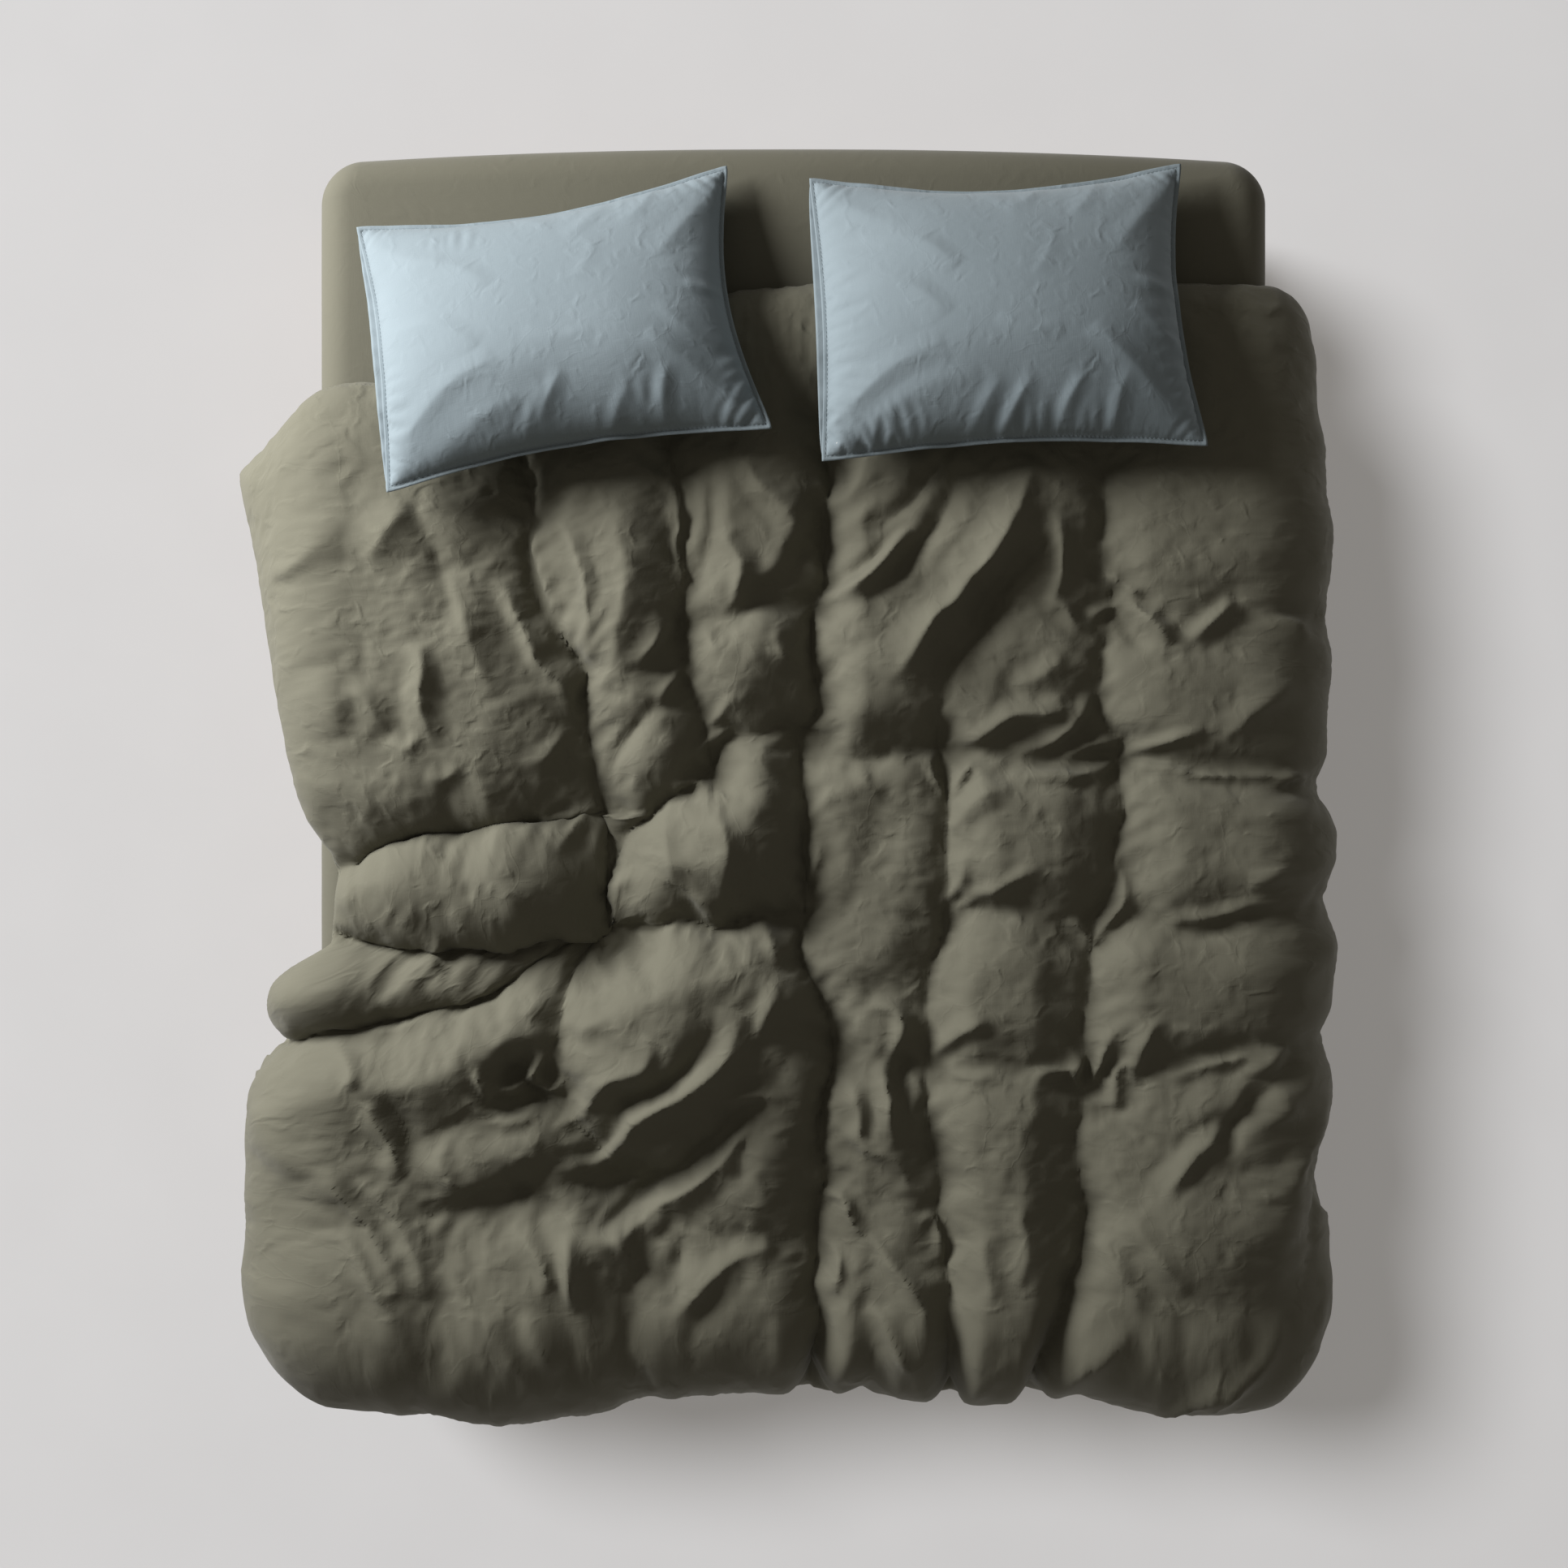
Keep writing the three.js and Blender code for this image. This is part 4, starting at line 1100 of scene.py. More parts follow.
    Ruck([(0.6, -1.08), (0.66, -1.05), (0.73, -1.03)], 0.018, 0.025, 0.02),
    Ruck([(0.64, -1.08), (0.7, -1.05), (0.77, -0.99), (0.8, -0.93)], 0.014, 0.02, 0.02),
    Ruck([(0.31, -0.8), (0.31, -0.86), (0.32, -0.92)], 0.010, 0.03, 0.03),
    Ruck([(0.36, -0.75), (0.37, -0.83), (0.36, -0.9)], 0.010, 0.03, 0.03),
)


@dataclass
class Duvet:
    """A down duvet in a washed cotton cover: the cover's two panels and the insert between them.

    The cover is cut square. Its outline over the bed is set by where its hem lies: the left hem is drawn back
    at the waist, and the head hem slants down to the left.

    Attributes:
        bed: what it lies on.
        size: the cover's cut width and length.
        right: the flat place of the right hem.
        foot: the flat place of the foot hem.
        loft: the filling's height between the seams.
        hem: the height at the hem.
        least: the least that the cover stands off the bed.
        gather: how far the cloth gathers up beside a seam.
        gather_step: how far apart the gathers stand.
        gather_fade: how far from the seam they fade out.
        seed: the seed of its noise.
        levels: how it is blown up, from the coarse grid to the fine one.
    """

    bed: BedTop = field(default_factory=BedTop)
    size: float = 2.20
    right: float = 1.110
    foot: float = -1.302
    loft: float = 0.100
    hem: float = 0.016
    least: float = 0.0065
    gather: float = 0.0042
    gather_step: float = 0.021
    gather_fade: float = 0.055
    seed: int = 3
    levels: tuple[Puffing, ...] = (
        Puffing(0.0280, 50, 0.35, 1.1e-3, 0.014, 6e-3),
        Puffing(0.0140, 60, 0.42, 5e-4, 0.012, 1e-3),
        Puffing(0.0070, 60, 0.16, 2.5e-4, 0.008, 2e-4),
    )

    def left_hem(self, t: Array) -> Array:
        """The left hem: out at the head corner and the foot, drawn back at the waist.

        Args:
            t: flat places along.

        Returns:
            The hem's flat place across, at each.
        """
        places = [-1.45, -1.0, -0.9, -0.8, -0.7, -0.6, -0.52, -0.46, -0.4, -0.343, -0.222, -0.17, -0.135, -0.05,
                  0.039, 0.15, 0.294, 0.4, 0.489, 0.56]
        widths = [1.02, 1.02, 1.03, 1.04, 1.02, 0.99, 0.96, 0.93, 0.87, 0.775, 0.76, 0.79, 0.81, 0.84,
                  0.865, 0.895, 0.93, 0.965, 0.99, 1.0]
        return -np.interp(t, places, widths)

    def head_hem(self, s: Array) -> Array:
        """The head hem: level on the right, slanting down towards the left corner.

        Args:
            s: flat places across.

        Returns:
            The hem's flat place along, at each.
        """
        places = [-1.0, -0.93, -0.87, -0.8, -0.735, -0.675, -0.5, -0.3, -0.1, 0.06, 0.35, 0.64, 0.8, 1.1]
        heads = [0.46, 0.485, 0.53, 0.58, 0.594, 0.592, 0.63, 0.69, 0.745, 0.76, 0.76, 0.757, 0.757, 0.74]
        return np.interp(s, places, heads)

    def flat_places(self, cell: float) -> tuple[Array, Array]:
        """Spreads an even grid over the cloth between its hems, from the left to the right and foot to head.

        Args:
            cell: the grid's spacing.

        Returns:
            The flat places across and along.
        """
        count = 2 * round(self.size / cell / 2) + 1
        u, v = np.meshgrid(np.linspace(0, 1, count), np.linspace(0, 1, count), indexing="ij")
        s = -1 + u * (self.right + 1)
        for _ in range(4):
            t = self.foot + (self.head_hem(s) - self.foot) * v
            left = self.left_hem(t)
            s = np.where(u < 0.48, left + (0.02 - left) * u / 0.48, 0.02 + (self.right - 0.02) * (u - 0.48) / 0.52)
        return s, t

    def from_hem(self, s: Array, t: Array) -> Array:
        """The distance of each flat place from the nearest hem."""
        gaps = [s - self.left_hem(t), self.right - s, self.head_hem(s) - t, t - self.foot]
        return np.minimum.reduce(gaps)

    def full_height(self, s: Array, t: Array) -> Array:
        """The loft of the filling between the creases: lower by the pillows, fuller at the lower left and foot.

        Args:
            s: flat places across.
            t: flat places along.

        Returns:
            The height over the underside.
        """
        loft = self.loft - 0.022 * smooth(t, 0.25, 0.62) + 0.02 * smooth(-s, 0.1, 0.5) * smooth(-t, 0.35, 0.6)
        foot_swell = np.interp(
            s,
            [-1.0, -0.85, -0.66, -0.49, -0.3, -0.17, 0.04, 0.14, 0.35, 0.48, 0.6, 0.78, 0.9, 1.1],
            [-0.01, 0.0, 0.03, 0.042, 0.034, 0.018, 0.018, 0.026, 0.03, 0.018, 0.042, 0.038, 0.0, 0.0],
        )
        for (x, y), reach, rise in SHIFTED_DOWN:
            loft += rise * np.exp(-((s - x) ** 2 + (t - y) ** 2) / (2 * (0.75 * reach) ** 2))
        return loft + (foot_swell - 0.02) * smooth(-t, 0.9, 1.05)

    def filling(self, s: Array, t: Array, rng: np.random.Generator) -> tuple[Array, Array, Array, Array]:
        """The height of the filling, sunk along each crease.

        Each crease multiplies the height by 1 - a (1 - g), where a is its depth and g rises across it, sharply
        if the crease is deep and softly if it is not. It narrows over the foot's bend, and
        shifts the leaning side over it by lean sin(pi sqrt(x)), where x is the distance / reach. Along it the
        cloth is gathered: random steps that fade out away from it.

        Args:
            s: flat places across.
            t: flat places along.
            rng: the seeded noise.

        Returns:
            The height, the distance from the nearest crease, how crowded with creases each place is, and how
            far the leaning creases shift it across and along.
        """
        full = self.full_height(s, t)
        height, near, crowd = full.copy(), np.full(s.shape, 9.0), np.zeros(s.shape)
        shift, gathers = np.zeros((*s.shape, 2)), np.zeros(s.shape)
        sway_s, sway_t = (0.006 * soft_noise_at(s, t, 0.06, rng) for _ in range(2))
        for crease in CREASES.values():
            line = self.bed.unroll(curve_through(crease.points))
            away, side, along, way = beside(s + sway_s, t + sway_t, line, 0.2)
            wander = np.interp(along, np.linspace(0, 1, 9), rng.uniform(0.75, 1.2, 9))
            reach = np.where(side > 0, crease.left, crease.right) * wander * (1 - 0.45 * smooth(-t, 0.8, 1.05))
            depth = (crease.start + (crease.end - crease.start) * along) * (1 - crease.floor / full)
            depth = np.clip(depth * np.interp(along, np.linspace(0, 1, 7), rng.uniform(0.8, 1.05, 7)), 0, 0.97)
            x = np.clip(away / reach, 0, 1)
            sharp = 0.6 * dome(x) + 0.4 * np.sin(math.pi / 2 * x)
            height *= 1 - depth * (1 - depth * sharp - (1 - depth) * smooth(x, 0, 1))
            leaning = np.where(side * crease.lean > 0, abs(crease.lean), 0) * np.sin(math.pi * np.sqrt(x)) * depth
            shift -= leaning[..., None] * way
            near = np.minimum(near, away / np.maximum(depth, 0.05))
            crowd += depth * np.exp(-((away / 0.045) ** 2))
            length = np.linalg.norm(np.diff(line, axis=0), axis=1).sum()
            knots = np.arange(-0.1, length + 0.1, self.gather_step)
            run = along * length + 0.6 * away
            one, other = (np.interp(run, knots, rng.normal(size=knots.size)) for _ in range(2))
            fade = np.exp(-((away / self.gather_fade) ** 2))
            gathers += self.gather * depth * np.where(side > 0, one, other) * fade
        for ruck in RUCKS:
            line = self.bed.unroll(curve_through(ruck.points))
            away, side, along, _ = beside(s + sway_s, t + sway_t, line, 0.1)
            reach = np.where(side > 0, ruck.left, ruck.right)
            rise = ruck.rise * (1.15 if ruck.rise > 0 else 0.8)
            height += rise * np.clip(1 - away / reach, 0, 1) ** 1.5 * np.sin(math.pi * along) ** 0.8
        height += gathers + 0.004 * soft_noise_at(s, t, 0.16, rng) + 0.0025 * soft_noise_at(s, t, 0.07, rng)
        height = np.maximum(height, self.least)
        from_hem = self.from_hem(s, t)
        shift *= smooth(from_hem, 0.02, 0.08)[..., None]
        return self.hem + (height - self.hem) * dome(from_hem / 0.15), near, crowd, shift

    def settle(self) -> None:
        """Blows the cover onto the filling, from a coarse grid to a fine one, and keeps its points and places."""
        shift = None
        for number, how in enumerate(self.levels):
            rng = np.random.default_rng(self.seed)
            s, t = self.flat_places(how.cell)
            height, near, crowd, lean = self.filling(s, t, rng)
            ideal, normals = self.bed.drape(s + lean[..., 0], t + lean[..., 1], height)
            base = self.bed.drape(s + lean[..., 0], t + lean[..., 1], np.zeros_like(s))[0]
            from_hem = self.from_hem(s, t)
            patchy = smooth(soft_noise_at(s, t, 0.09, rng), -0.6, 1.2)
            loose = 0.016 + 0.05 * np.minimum(crowd, 1) * patchy + 0.07 * np.clip(crowd - 0.9, 0, 0.8)
            slack = 1 + loose * smooth(from_hem, 0, 0.05)
            cloth = Cloth(ideal, slack, how.stiffness)
            uneven = np.random.default_rng(self.seed + number).normal(size=(*s.shape, 1)) * how.crumple
            cloth.points += (uneven * normals).astype(np.float32)
            if shift is not None:
                cloth.points += resample(shift, *s.shape).astype(np.float32)
            held = np.where(near < 0.7 * how.cell, 6 * how.cell, 0) + np.where(from_hem < 0.6 * how.cell, 0.2, 0)
            floor = np.maximum(np.minimum(0.45 * height, height - 0.004), self.least)
            settled = puff(cloth, base, normals, height, ideal, held, floor, how)
            shift = settled - ideal
            log.info("duvet cover settled on a %.0f mm grid", how.cell * 1000)
        crinkle = soft_noise_at(s + t, s - t, 0.045, rng) ** 2 + 0.6 * soft_noise_at(s, t, 0.021, rng) ** 2
        settled = settled.astype(float) - grid_normals(settled) * (0.0011 * np.minimum(crinkle, 2.5))[..., None]
        self.points, self.normals = settled, self.bed.drape(s, t, height)[1]
        self.base = self.bed.drape(s, t, np.zeros_like(s))[0]
        self.s, self.t, self.away = s, t, from_hem

    def cloth_places(self) -> Array:
        """The flat place of each point of the cut cloth, in metres from its middle."""
        line = (np.linspace(0, 1, len(self.s)) - 0.5) * self.size
        return np.stack(np.meshgrid(line, line, indexing="ij"), -1)

    def under_panel(self) -> Array:
        """The under panel: on the bed, and up to the top panel's rim over the last 45 mm, at half the detail.

        Returns:
            Its points.
        """
        top, base, normals = (a[::2, ::2] for a in (self.points, self.base, self.normals))
        off = np.einsum("ijk,ijk->ij", top - base, normals)[..., None]
        slid = top - base - off * normals
        inner = smooth(self.away[::2, ::2], 0, 0.045)[..., None]
        panel = base + normals * (self.hem * (1 - inner) + 0.0015 * inner) + slid * (1 - inner)
        for rim in (np.s_[0, :], np.s_[-1, :], np.s_[:, 0], np.s_[:, -1]):
            panel[rim] = top[rim]
        return panel

    def build(self, finish: bpy.types.Material, down: bpy.types.Material) -> None:
        """Makes the cover's panels and the insert.

        Args:
            finish: the cover's cotton.
            down: the insert's cotton.
        """
        self.settle()
        places = self.cloth_places()
        count = len(places)
        quads = grid_quads(count, count)
        top = build_piece("duvet_cover", self.points.reshape(-1, 3), quads, places.reshape(-1, 2))
        panel = self.under_panel()
        half = len(panel)
        under = build_piece(
            "duvet_cover_under_panel",
            panel.reshape(-1, 3),
            grid_quads(half, half)[:, ::-1],
            places[::2, ::2].reshape(-1, 2),
        )
        off = np.einsum("ijk,ijk->ij", self.points - self.base, self.normals)
        low = off.copy()
        for axis in (0, 1):
            low = np.minimum.reduce([np.roll(low, k, axis) for k in range(-5, 6)])
        inset = np.s_[4:-4:2, 4:-4:2]
        room = low[inset] - 0.0025
        bottom = np.minimum(0.0027, room - 0.0012)
        insert_base, insert_normals = self.base[inset], self.normals[inset]
        edge = smooth(self.away[inset], 0.02, 0.06)
        lift = self.hem * 0.5 * (1 - edge)
        high = insert_base + insert_normals * np.maximum(room, bottom + 0.0015)[..., None]
        floor_points = insert_base + insert_normals * (bottom + lift)[..., None]
        insert = closed_between("duvet_insert", high, floor_points, places[inset])
        dress(top, finish)
        dress(under, finish)
        dress(insert, down)
        names = [f"down_channel_{k}" for k in range(1, 10)] + [f"down_channel_foot_{k}" for k in range(1, 10)]
        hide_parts("duvet_cover_top", "duvet_cover_top_foot")
        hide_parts("duvet_cover_under", "duvet_cover_under_foot")
        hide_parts(*names)
        for piece in (top, under, insert):
            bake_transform(piece)

    def top_under(self, x: Array, y: Array) -> Array:
        """The highest that the cover or the bed stands near each plan place, from a 10 mm map of the cover.

        Args:
            x: plan places across.
            y: plan places along.

        Returns:
            The height at each.
        """
        cell = 0.01
        heights = np.full((260, 260), self.bed.top)
        ij = ((self.points[..., :2] + 1.3) / cell).astype(int).reshape(-1, 2)
        np.maximum.at(heights, (ij[:, 0], ij[:, 1]), self.points[..., 2].ravel())
        for axis in (0, 1):
            heights = np.maximum.reduce([np.roll(heights, k, axis) for k in (-1, 0, 1)])
        return heights[((x + 1.3) / cell).astype(int), ((y + 1.3) / cell).astype(int)]


# --- The pillows ---


# Wrinkles in a pillowcase, from its seams and corners inwards: unit places on the case.
CASE_RUCKS = (
    Ruck([(-0.8, 0.5), (-0.5, 0.45), (-0.28, 0.2)], 0.009, 0.10, 0.16),
    Ruck([(-0.86, 0.1), (-0.6, 0.05), (-0.38, -0.18)], 0.008, 0.10, 0.16),
    Ruck([(-0.95, -0.85), (-0.62, -0.52), (-0.32, -0.38)], 0.010, 0.14, 0.12),
    Ruck([(-0.85, -0.95), (-0.5, -0.72), (-0.2, -0.65)], 0.006, 0.10, 0.10),
    Ruck([(-0.93, 0.9), (-0.72, 0.68), (-0.5, 0.6)], 0.008, 0.10, 0.10),
    Ruck([(-0.34, -0.97), (-0.24, -0.75), (-0.16, -0.6)], 0.006, 0.06, 0.09),
    Ruck([(-0.06, -0.97), (0.02, -0.8), (0.12, -0.6)], 0.008, 0.06, 0.09),
    Ruck([(0.2, -0.97), (0.26, -0.8), (0.36, -0.62)], 0.007, 0.06, 0.08),
    Ruck([(0.5, -0.95), (0.54, -0.7), (0.62, -0.5)], 0.007, 0.07, 0.09),
    Ruck([(0.95, -0.9), (0.72, -0.56), (0.5, -0.3)], 0.011, 0.14, 0.10),
    Ruck([(0.98, -0.45), (0.8, -0.3), (0.66, -0.1)], 0.007, 0.08, 0.08),
    Ruck([(0.98, 0.05), (0.85, 0.06), (0.7, 0.12)], 0.007, 0.07, 0.07),
    Ruck([(0.96, 0.9), (0.76, 0.56), (0.6, 0.3)], 0.010, 0.12, 0.10),
    Ruck([(0.3, 0.97), (0.2, 0.8), (0.06, 0.62)], 0.006, 0.08, 0.08),
    Ruck([(-0.16, 0.97), (-0.06, 0.85), (0.06, 0.74)], 0.006, 0.08, 0.08),
    Ruck([(0.62, 0.97), (0.56, 0.78), (0.44, 0.6)], 0.006, 0.08, 0.08),
    Ruck([(0.1, 0.1), (0.2, 0.3), (0.24, 0.5)], 0.003, 0.06, 0.10),
    Ruck([(-0.1, -0.2), (0.08, -0.3), (0.26, -0.28)], 0.004, 0.08, 0.12),
)


class Side(Enum):
    """Which side of the bed a pillow lies on, seen from the foot."""

    LEFT = "left"
    RIGHT = "right"


@dataclass
class Pillow:
    """A feather pillow in a washed cotton case with an open side.

    Attributes:
        side: its side of the bed.
        centre: where its middle lies in plan.
        turn: how far it is turned, in degrees.
        tilt: how far its foot side is propped up, in degrees.
        half: half the distance between its corners, across and along.
        pulled: how far each side is drawn in at its middle: left, right, foot, head.
        seed: the seed of its noise.
        belly: how far the upper panel swells.
        under: how far the under panel swells.
        flat: the case's cut width and length.
        flange: the width of the seam's flat edge.
        sag: how far the head side sags off the duvet, towards the sheet.
        sunk: how far the pillow sinks into the duvet.
        levels: how its panels are blown up, from the coarse grid to the fine one.
    """

    side: Side
    centre: tuple[float, float]
    turn: float
    tilt: float
    half: tuple[float, float]
    pulled: tuple[float, float, float, float]
    seed: int
    belly: float = 0.090
    under: float = 0.078
    flat: tuple[float, float] = (0.70, 0.50)
    flange: float = 0.007
    sag: float = 0.072
    sunk: float = 0.020
    levels: tuple[Puffing, ...] = (
        Puffing(0.016, 50, 0.45, 6e-4, 0.010, 4e-3),
        Puffing(0.008, 50, 0.45, 3e-4, 0.008, 1e-3),
        Puffing(0.004, 40, 0.40, 1.5e-4, 0.006, 2e-4),
    )

    def seam_places(self, cell: float) -> tuple[Array, Array]:
        """An even grid over the case, from -1 to 1 each way, of about this cell size."""
        rows, columns = (2 * round(side / cell / 2) + 1 for side in self.flat)
        return np.meshgrid(np.linspace(-1, 1, rows), np.linspace(-1, 1, columns), indexing="ij")

    def mid_plane(self, u: Array, v: Array) -> Array:
        """The flat middle of the pillow: corners out, sides drawn in, the seams a little wavy.

        Args:
            u: places across, from -1 to 1.
            v: places along, from -1 to 1.

        Returns:
            Its points.
        """
        left, right, foot, head = self.pulled
        rng = np.random.default_rng(self.seed)
        x = u * self.half[0] - np.where(u > 0, right, -left) * (1 - v**2) ** 1.2 * np.abs(u) ** 1.5
        y = v * self.half[1] - np.where(v > 0, head, -foot) * (1 - u**2) ** 1.2 * np.abs(v) ** 1.5
        rim = np.maximum(np.abs(u), np.abs(v)) ** 12
        wave = soft_noise_at(x, y, 0.05, rng) * 0.0022 + soft_noise_at(x, y, 0.11, rng) * 0.003
        return np.stack([x, y, wave * rim], -1)

    def thickness(self, u: Array, v: Array, belly: float) -> Array:
        """The height over the middle: belly times the root of (1 - |u|^2.4) (1 - |v|^2.4)."""
        ends = np.clip(1 - np.abs(u) ** 2.4, 0, 1) * np.clip(1 - np.abs(v) ** 2.4, 0, 1)
        return belly * ends**0.6

    def panel(self, belly: float, way: int) -> Array:
        """Blows one panel of the case out from the middle.

        Args:
            belly: how far it swells.
            way: 1 for the upper panel and 2 for the under one, which seeds its noise.

        Returns:
            Its points on the finest grid.
        """
        shift = None
        for number, how in enumerate(self.levels):
            u, v = self.seam_places(how.cell)
            base = self.mid_plane(u, v)
            rng = np.random.default_rng(self.seed + 10 * way)
            away = np.minimum((1 - np.abs(u)) * self.half[0], (1 - np.abs(v)) * self.half[1])
            height = self.thickness(u, v, belly) + 0.002 * soft_noise_at(base[..., 0], base[..., 1], 0.12, rng)
            for ruck in CASE_RUCKS:
                line = curve_through(ruck.points) + rng.normal(size=2) * 0.05
                gap, side, along, _ = beside(u, v, line, 0.3)
                reach = np.where(side > 0, ruck.left, ruck.right)
                height += 0.6 * ruck.rise * np.clip(1 - gap / reach, 0, 1) ** 1.4 * np.sin(math.pi * along) ** 0.6
            height = np.where(away <= 0, 0, np.maximum(height, 0.001))
            normals = np.zeros_like(base)
            normals[..., 2] = 1
            ideal = base + normals * height[..., None]
            corner = smooth(np.hypot(1 - np.abs(u), (1 - np.abs(v)) * 0.8), 0.5, 0.1)
            patchy = smooth(soft_noise_at(base[..., 0], base[..., 1], 0.07, rng), -0.3, 1.2)
            slack = 1.004 + 0.03 * smooth(away, 0.12, 0.0) * patchy + 0.02 * corner
            cloth = Cloth(ideal, slack, how.stiffness)
            cloth.points += (rng.normal(size=(*u.shape, 1)) * how.crumple * normals).astype(np.float32)
            if shift is not None:
                cloth.points += resample(shift, *u.shape).astype(np.float32)
            held = np.where(away <= 1e-6, 0.9, 0)
            settled = puff(cloth, base, normals, height, ideal, held, np.zeros_like(u), how)
            settled[away <= 1e-6] = ideal[away <= 1e-6]
            shift = settled - ideal
        return settled.astype(float)

    def with_flange(self, grid: Array, lift: float) -> Array:
        """Adds two rings round a panel: the seam's flat flange, standing straight out from its edge.

        Args:
            grid: the panel's points.
            lift: half the flange's thickness, upwards for the upper panel.

        Returns:
            The wider grid.
        """
        inner = grid
        for step, level in ((0.5, lift), (0.5, 0.0)):
            wide = np.pad(inner, ((1, 1), (1, 1), (0, 0)), mode="edge")
            rows, columns = wide.shape[:2]
            out = np.zeros_like(wide)
            out[0, :, 0], out[-1, :, 0] = -1, 1
            out[:, 0, 1], out[:, -1, 1] = -1, 1
            wide += out * self.flange * step
            ring = np.ones((rows, columns), bool)
            ring[1:-1, 1:-1] = False
            wide[ring, 2] += level
            inner = wide
        return inner

    def place(self, points: Array, height: float) -> Array:
        """Tilts local points, lets the head side sag towards the sheet, and turns and moves them to their place.

        Args:
            points: the local points.
            height: the height of the pillow's middle.

        Returns:
            The points on the bed.
        """
        tilt, turn = math.radians(-self.tilt), math.radians(self.turn)
        x, y, z = (points[..., k] for k in range(3))
        y, z = y * math.cos(tilt) - z * math.sin(tilt), y * math.sin(tilt) + z * math.cos(tilt)
        z = z - self.sag * smooth(y / self.half[1], -0.4, 1.0)
        x, y = x * math.cos(turn) - y * math.sin(turn), x * math.sin(turn) + y * math.cos(turn)
        return np.stack([x + self.centre[0], y + self.centre[1], z + height], -1)

    def build(self, duvet: Duvet, cotton: bpy.types.Material, ticking: bpy.types.Material) -> None:
        """Makes the case, its flap and the pillow inside, laid on the duvet and the sheet.

        Args:
            duvet: the settled duvet.
            cotton: the case's finish.
            ticking: the pillow's finish.
        """
        low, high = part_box(f"{self.side.value}_pillowcase")
        middle = (low[2] + high[2]) / 2 - self.sunk
        top = self.panel(self.belly, 1)
        bottom = self.panel(self.under, 2) * [1, 1, -1]
        u, v = self.seam_places(self.levels[-1].cell)
        away = np.minimum((1 - np.abs(u)) * self.half[0], (1 - np.abs(v)) * self.half[1])
        bottom[..., 2] += 2 * self.mid_plane(u, v)[..., 2]
        bulge = 0.016 * np.sin(math.pi * np.clip(away / 0.07, 0, 1))
        bottom[..., 0] += bulge * np.sign(u) * np.abs(u) ** 6
        bottom[..., 1] += bulge * np.sign(v) * np.abs(v) ** 6
        panels = []
        for grid, lift in ((top, 0.0009), (bottom, -0.0009)):
            placed = self.place(self.with_flange(grid, lift), middle)
            ground = duvet.top_under(placed[..., 0], placed[..., 1]) + 0.004
            panels.append((placed, ground))
        (over, ground_over), (below, ground_below) = panels
        over[..., 2] = np.maximum(over[..., 2], ground_over + 0.003)
        below[..., 2] = np.maximum(below[..., 2], ground_below)
        line_u = np.linspace(-0.5, 0.5, over.shape[0]) * (self.flat[0] + 2 * self.flange)
        line_v = np.linspace(-0.5, 0.5, over.shape[1]) * (self.flat[1] + 2 * self.flange)
        places = np.stack(np.meshgrid(line_u, line_v, indexing="ij"), -1)
        case = closed_between(f"{self.side.value}_pillow_case", over, below, places)
        dress(case, cotton)
        step = np.s_[6:-6:3, 6:-6:3]
        thick = over[step] - below[step]
        inner = closed_between(
            f"{self.side.value}_feather_pillow",
            over[step] - thick * 0.06 - [0, 0, 0.0015],
            below[step] + thick * 0.06 + [0, 0, 0.0015],
            places[step],
        )
        dress(inner, ticking)
        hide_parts(f"{self.side.value}_pillowcase")
        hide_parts(f"{self.side.value}_pillow")
        flap = self.flap(below, places)
        dress(flap, cotton)
        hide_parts(f"{self.side.value}_pillowcase_flap")
        for piece, slot in ((case, "blue_cotton"), (flap, "blue_cotton"), (inner, "pillow_filling")):
            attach(piece, f"pillow_{self.side.value}")

    def flap(self, below: Array, places: Array) -> bpy.types.Object:
        """The under panel's hem at the open side: a strip under the edge that stands out from it.

        Args:
            below: the under panel's points.
            places: their flat places.

        Returns:
            The new object.
        """
        rim = below[0, 2:-2]
        count = len(rim)
        v = np.linspace(-1, 1, count)
        turn = math.radians(self.turn)
        out = -np.array([math.cos(turn), math.sin(turn), 0.0])
        reach = 0.013 * np.clip(1 - v**2, 0, 1) ** 0.6
        across = np.linspace(0, 1, 5)[:, None, None]
        edge = rim + out * (reach - 0.002)[:, None] - [0, 0, 0.0036]
        root = rim - out * 0.006 - [0, 0, 0.0036]
        strip = edge * (1 - across) + root * across
        strip[..., 2] += 0.0008 * np.sin(v * 40)
        flat = np.stack(np.meshgrid(np.linspace(0, 0.02, 5), places[0, 2:-2, 1], indexing="ij"), -1)
        return closed_between(f"{self.side.value}_pillow_case_flap", strip, strip - [0, 0, 0.0014], flat)


# --- The mattress and its sheet ---


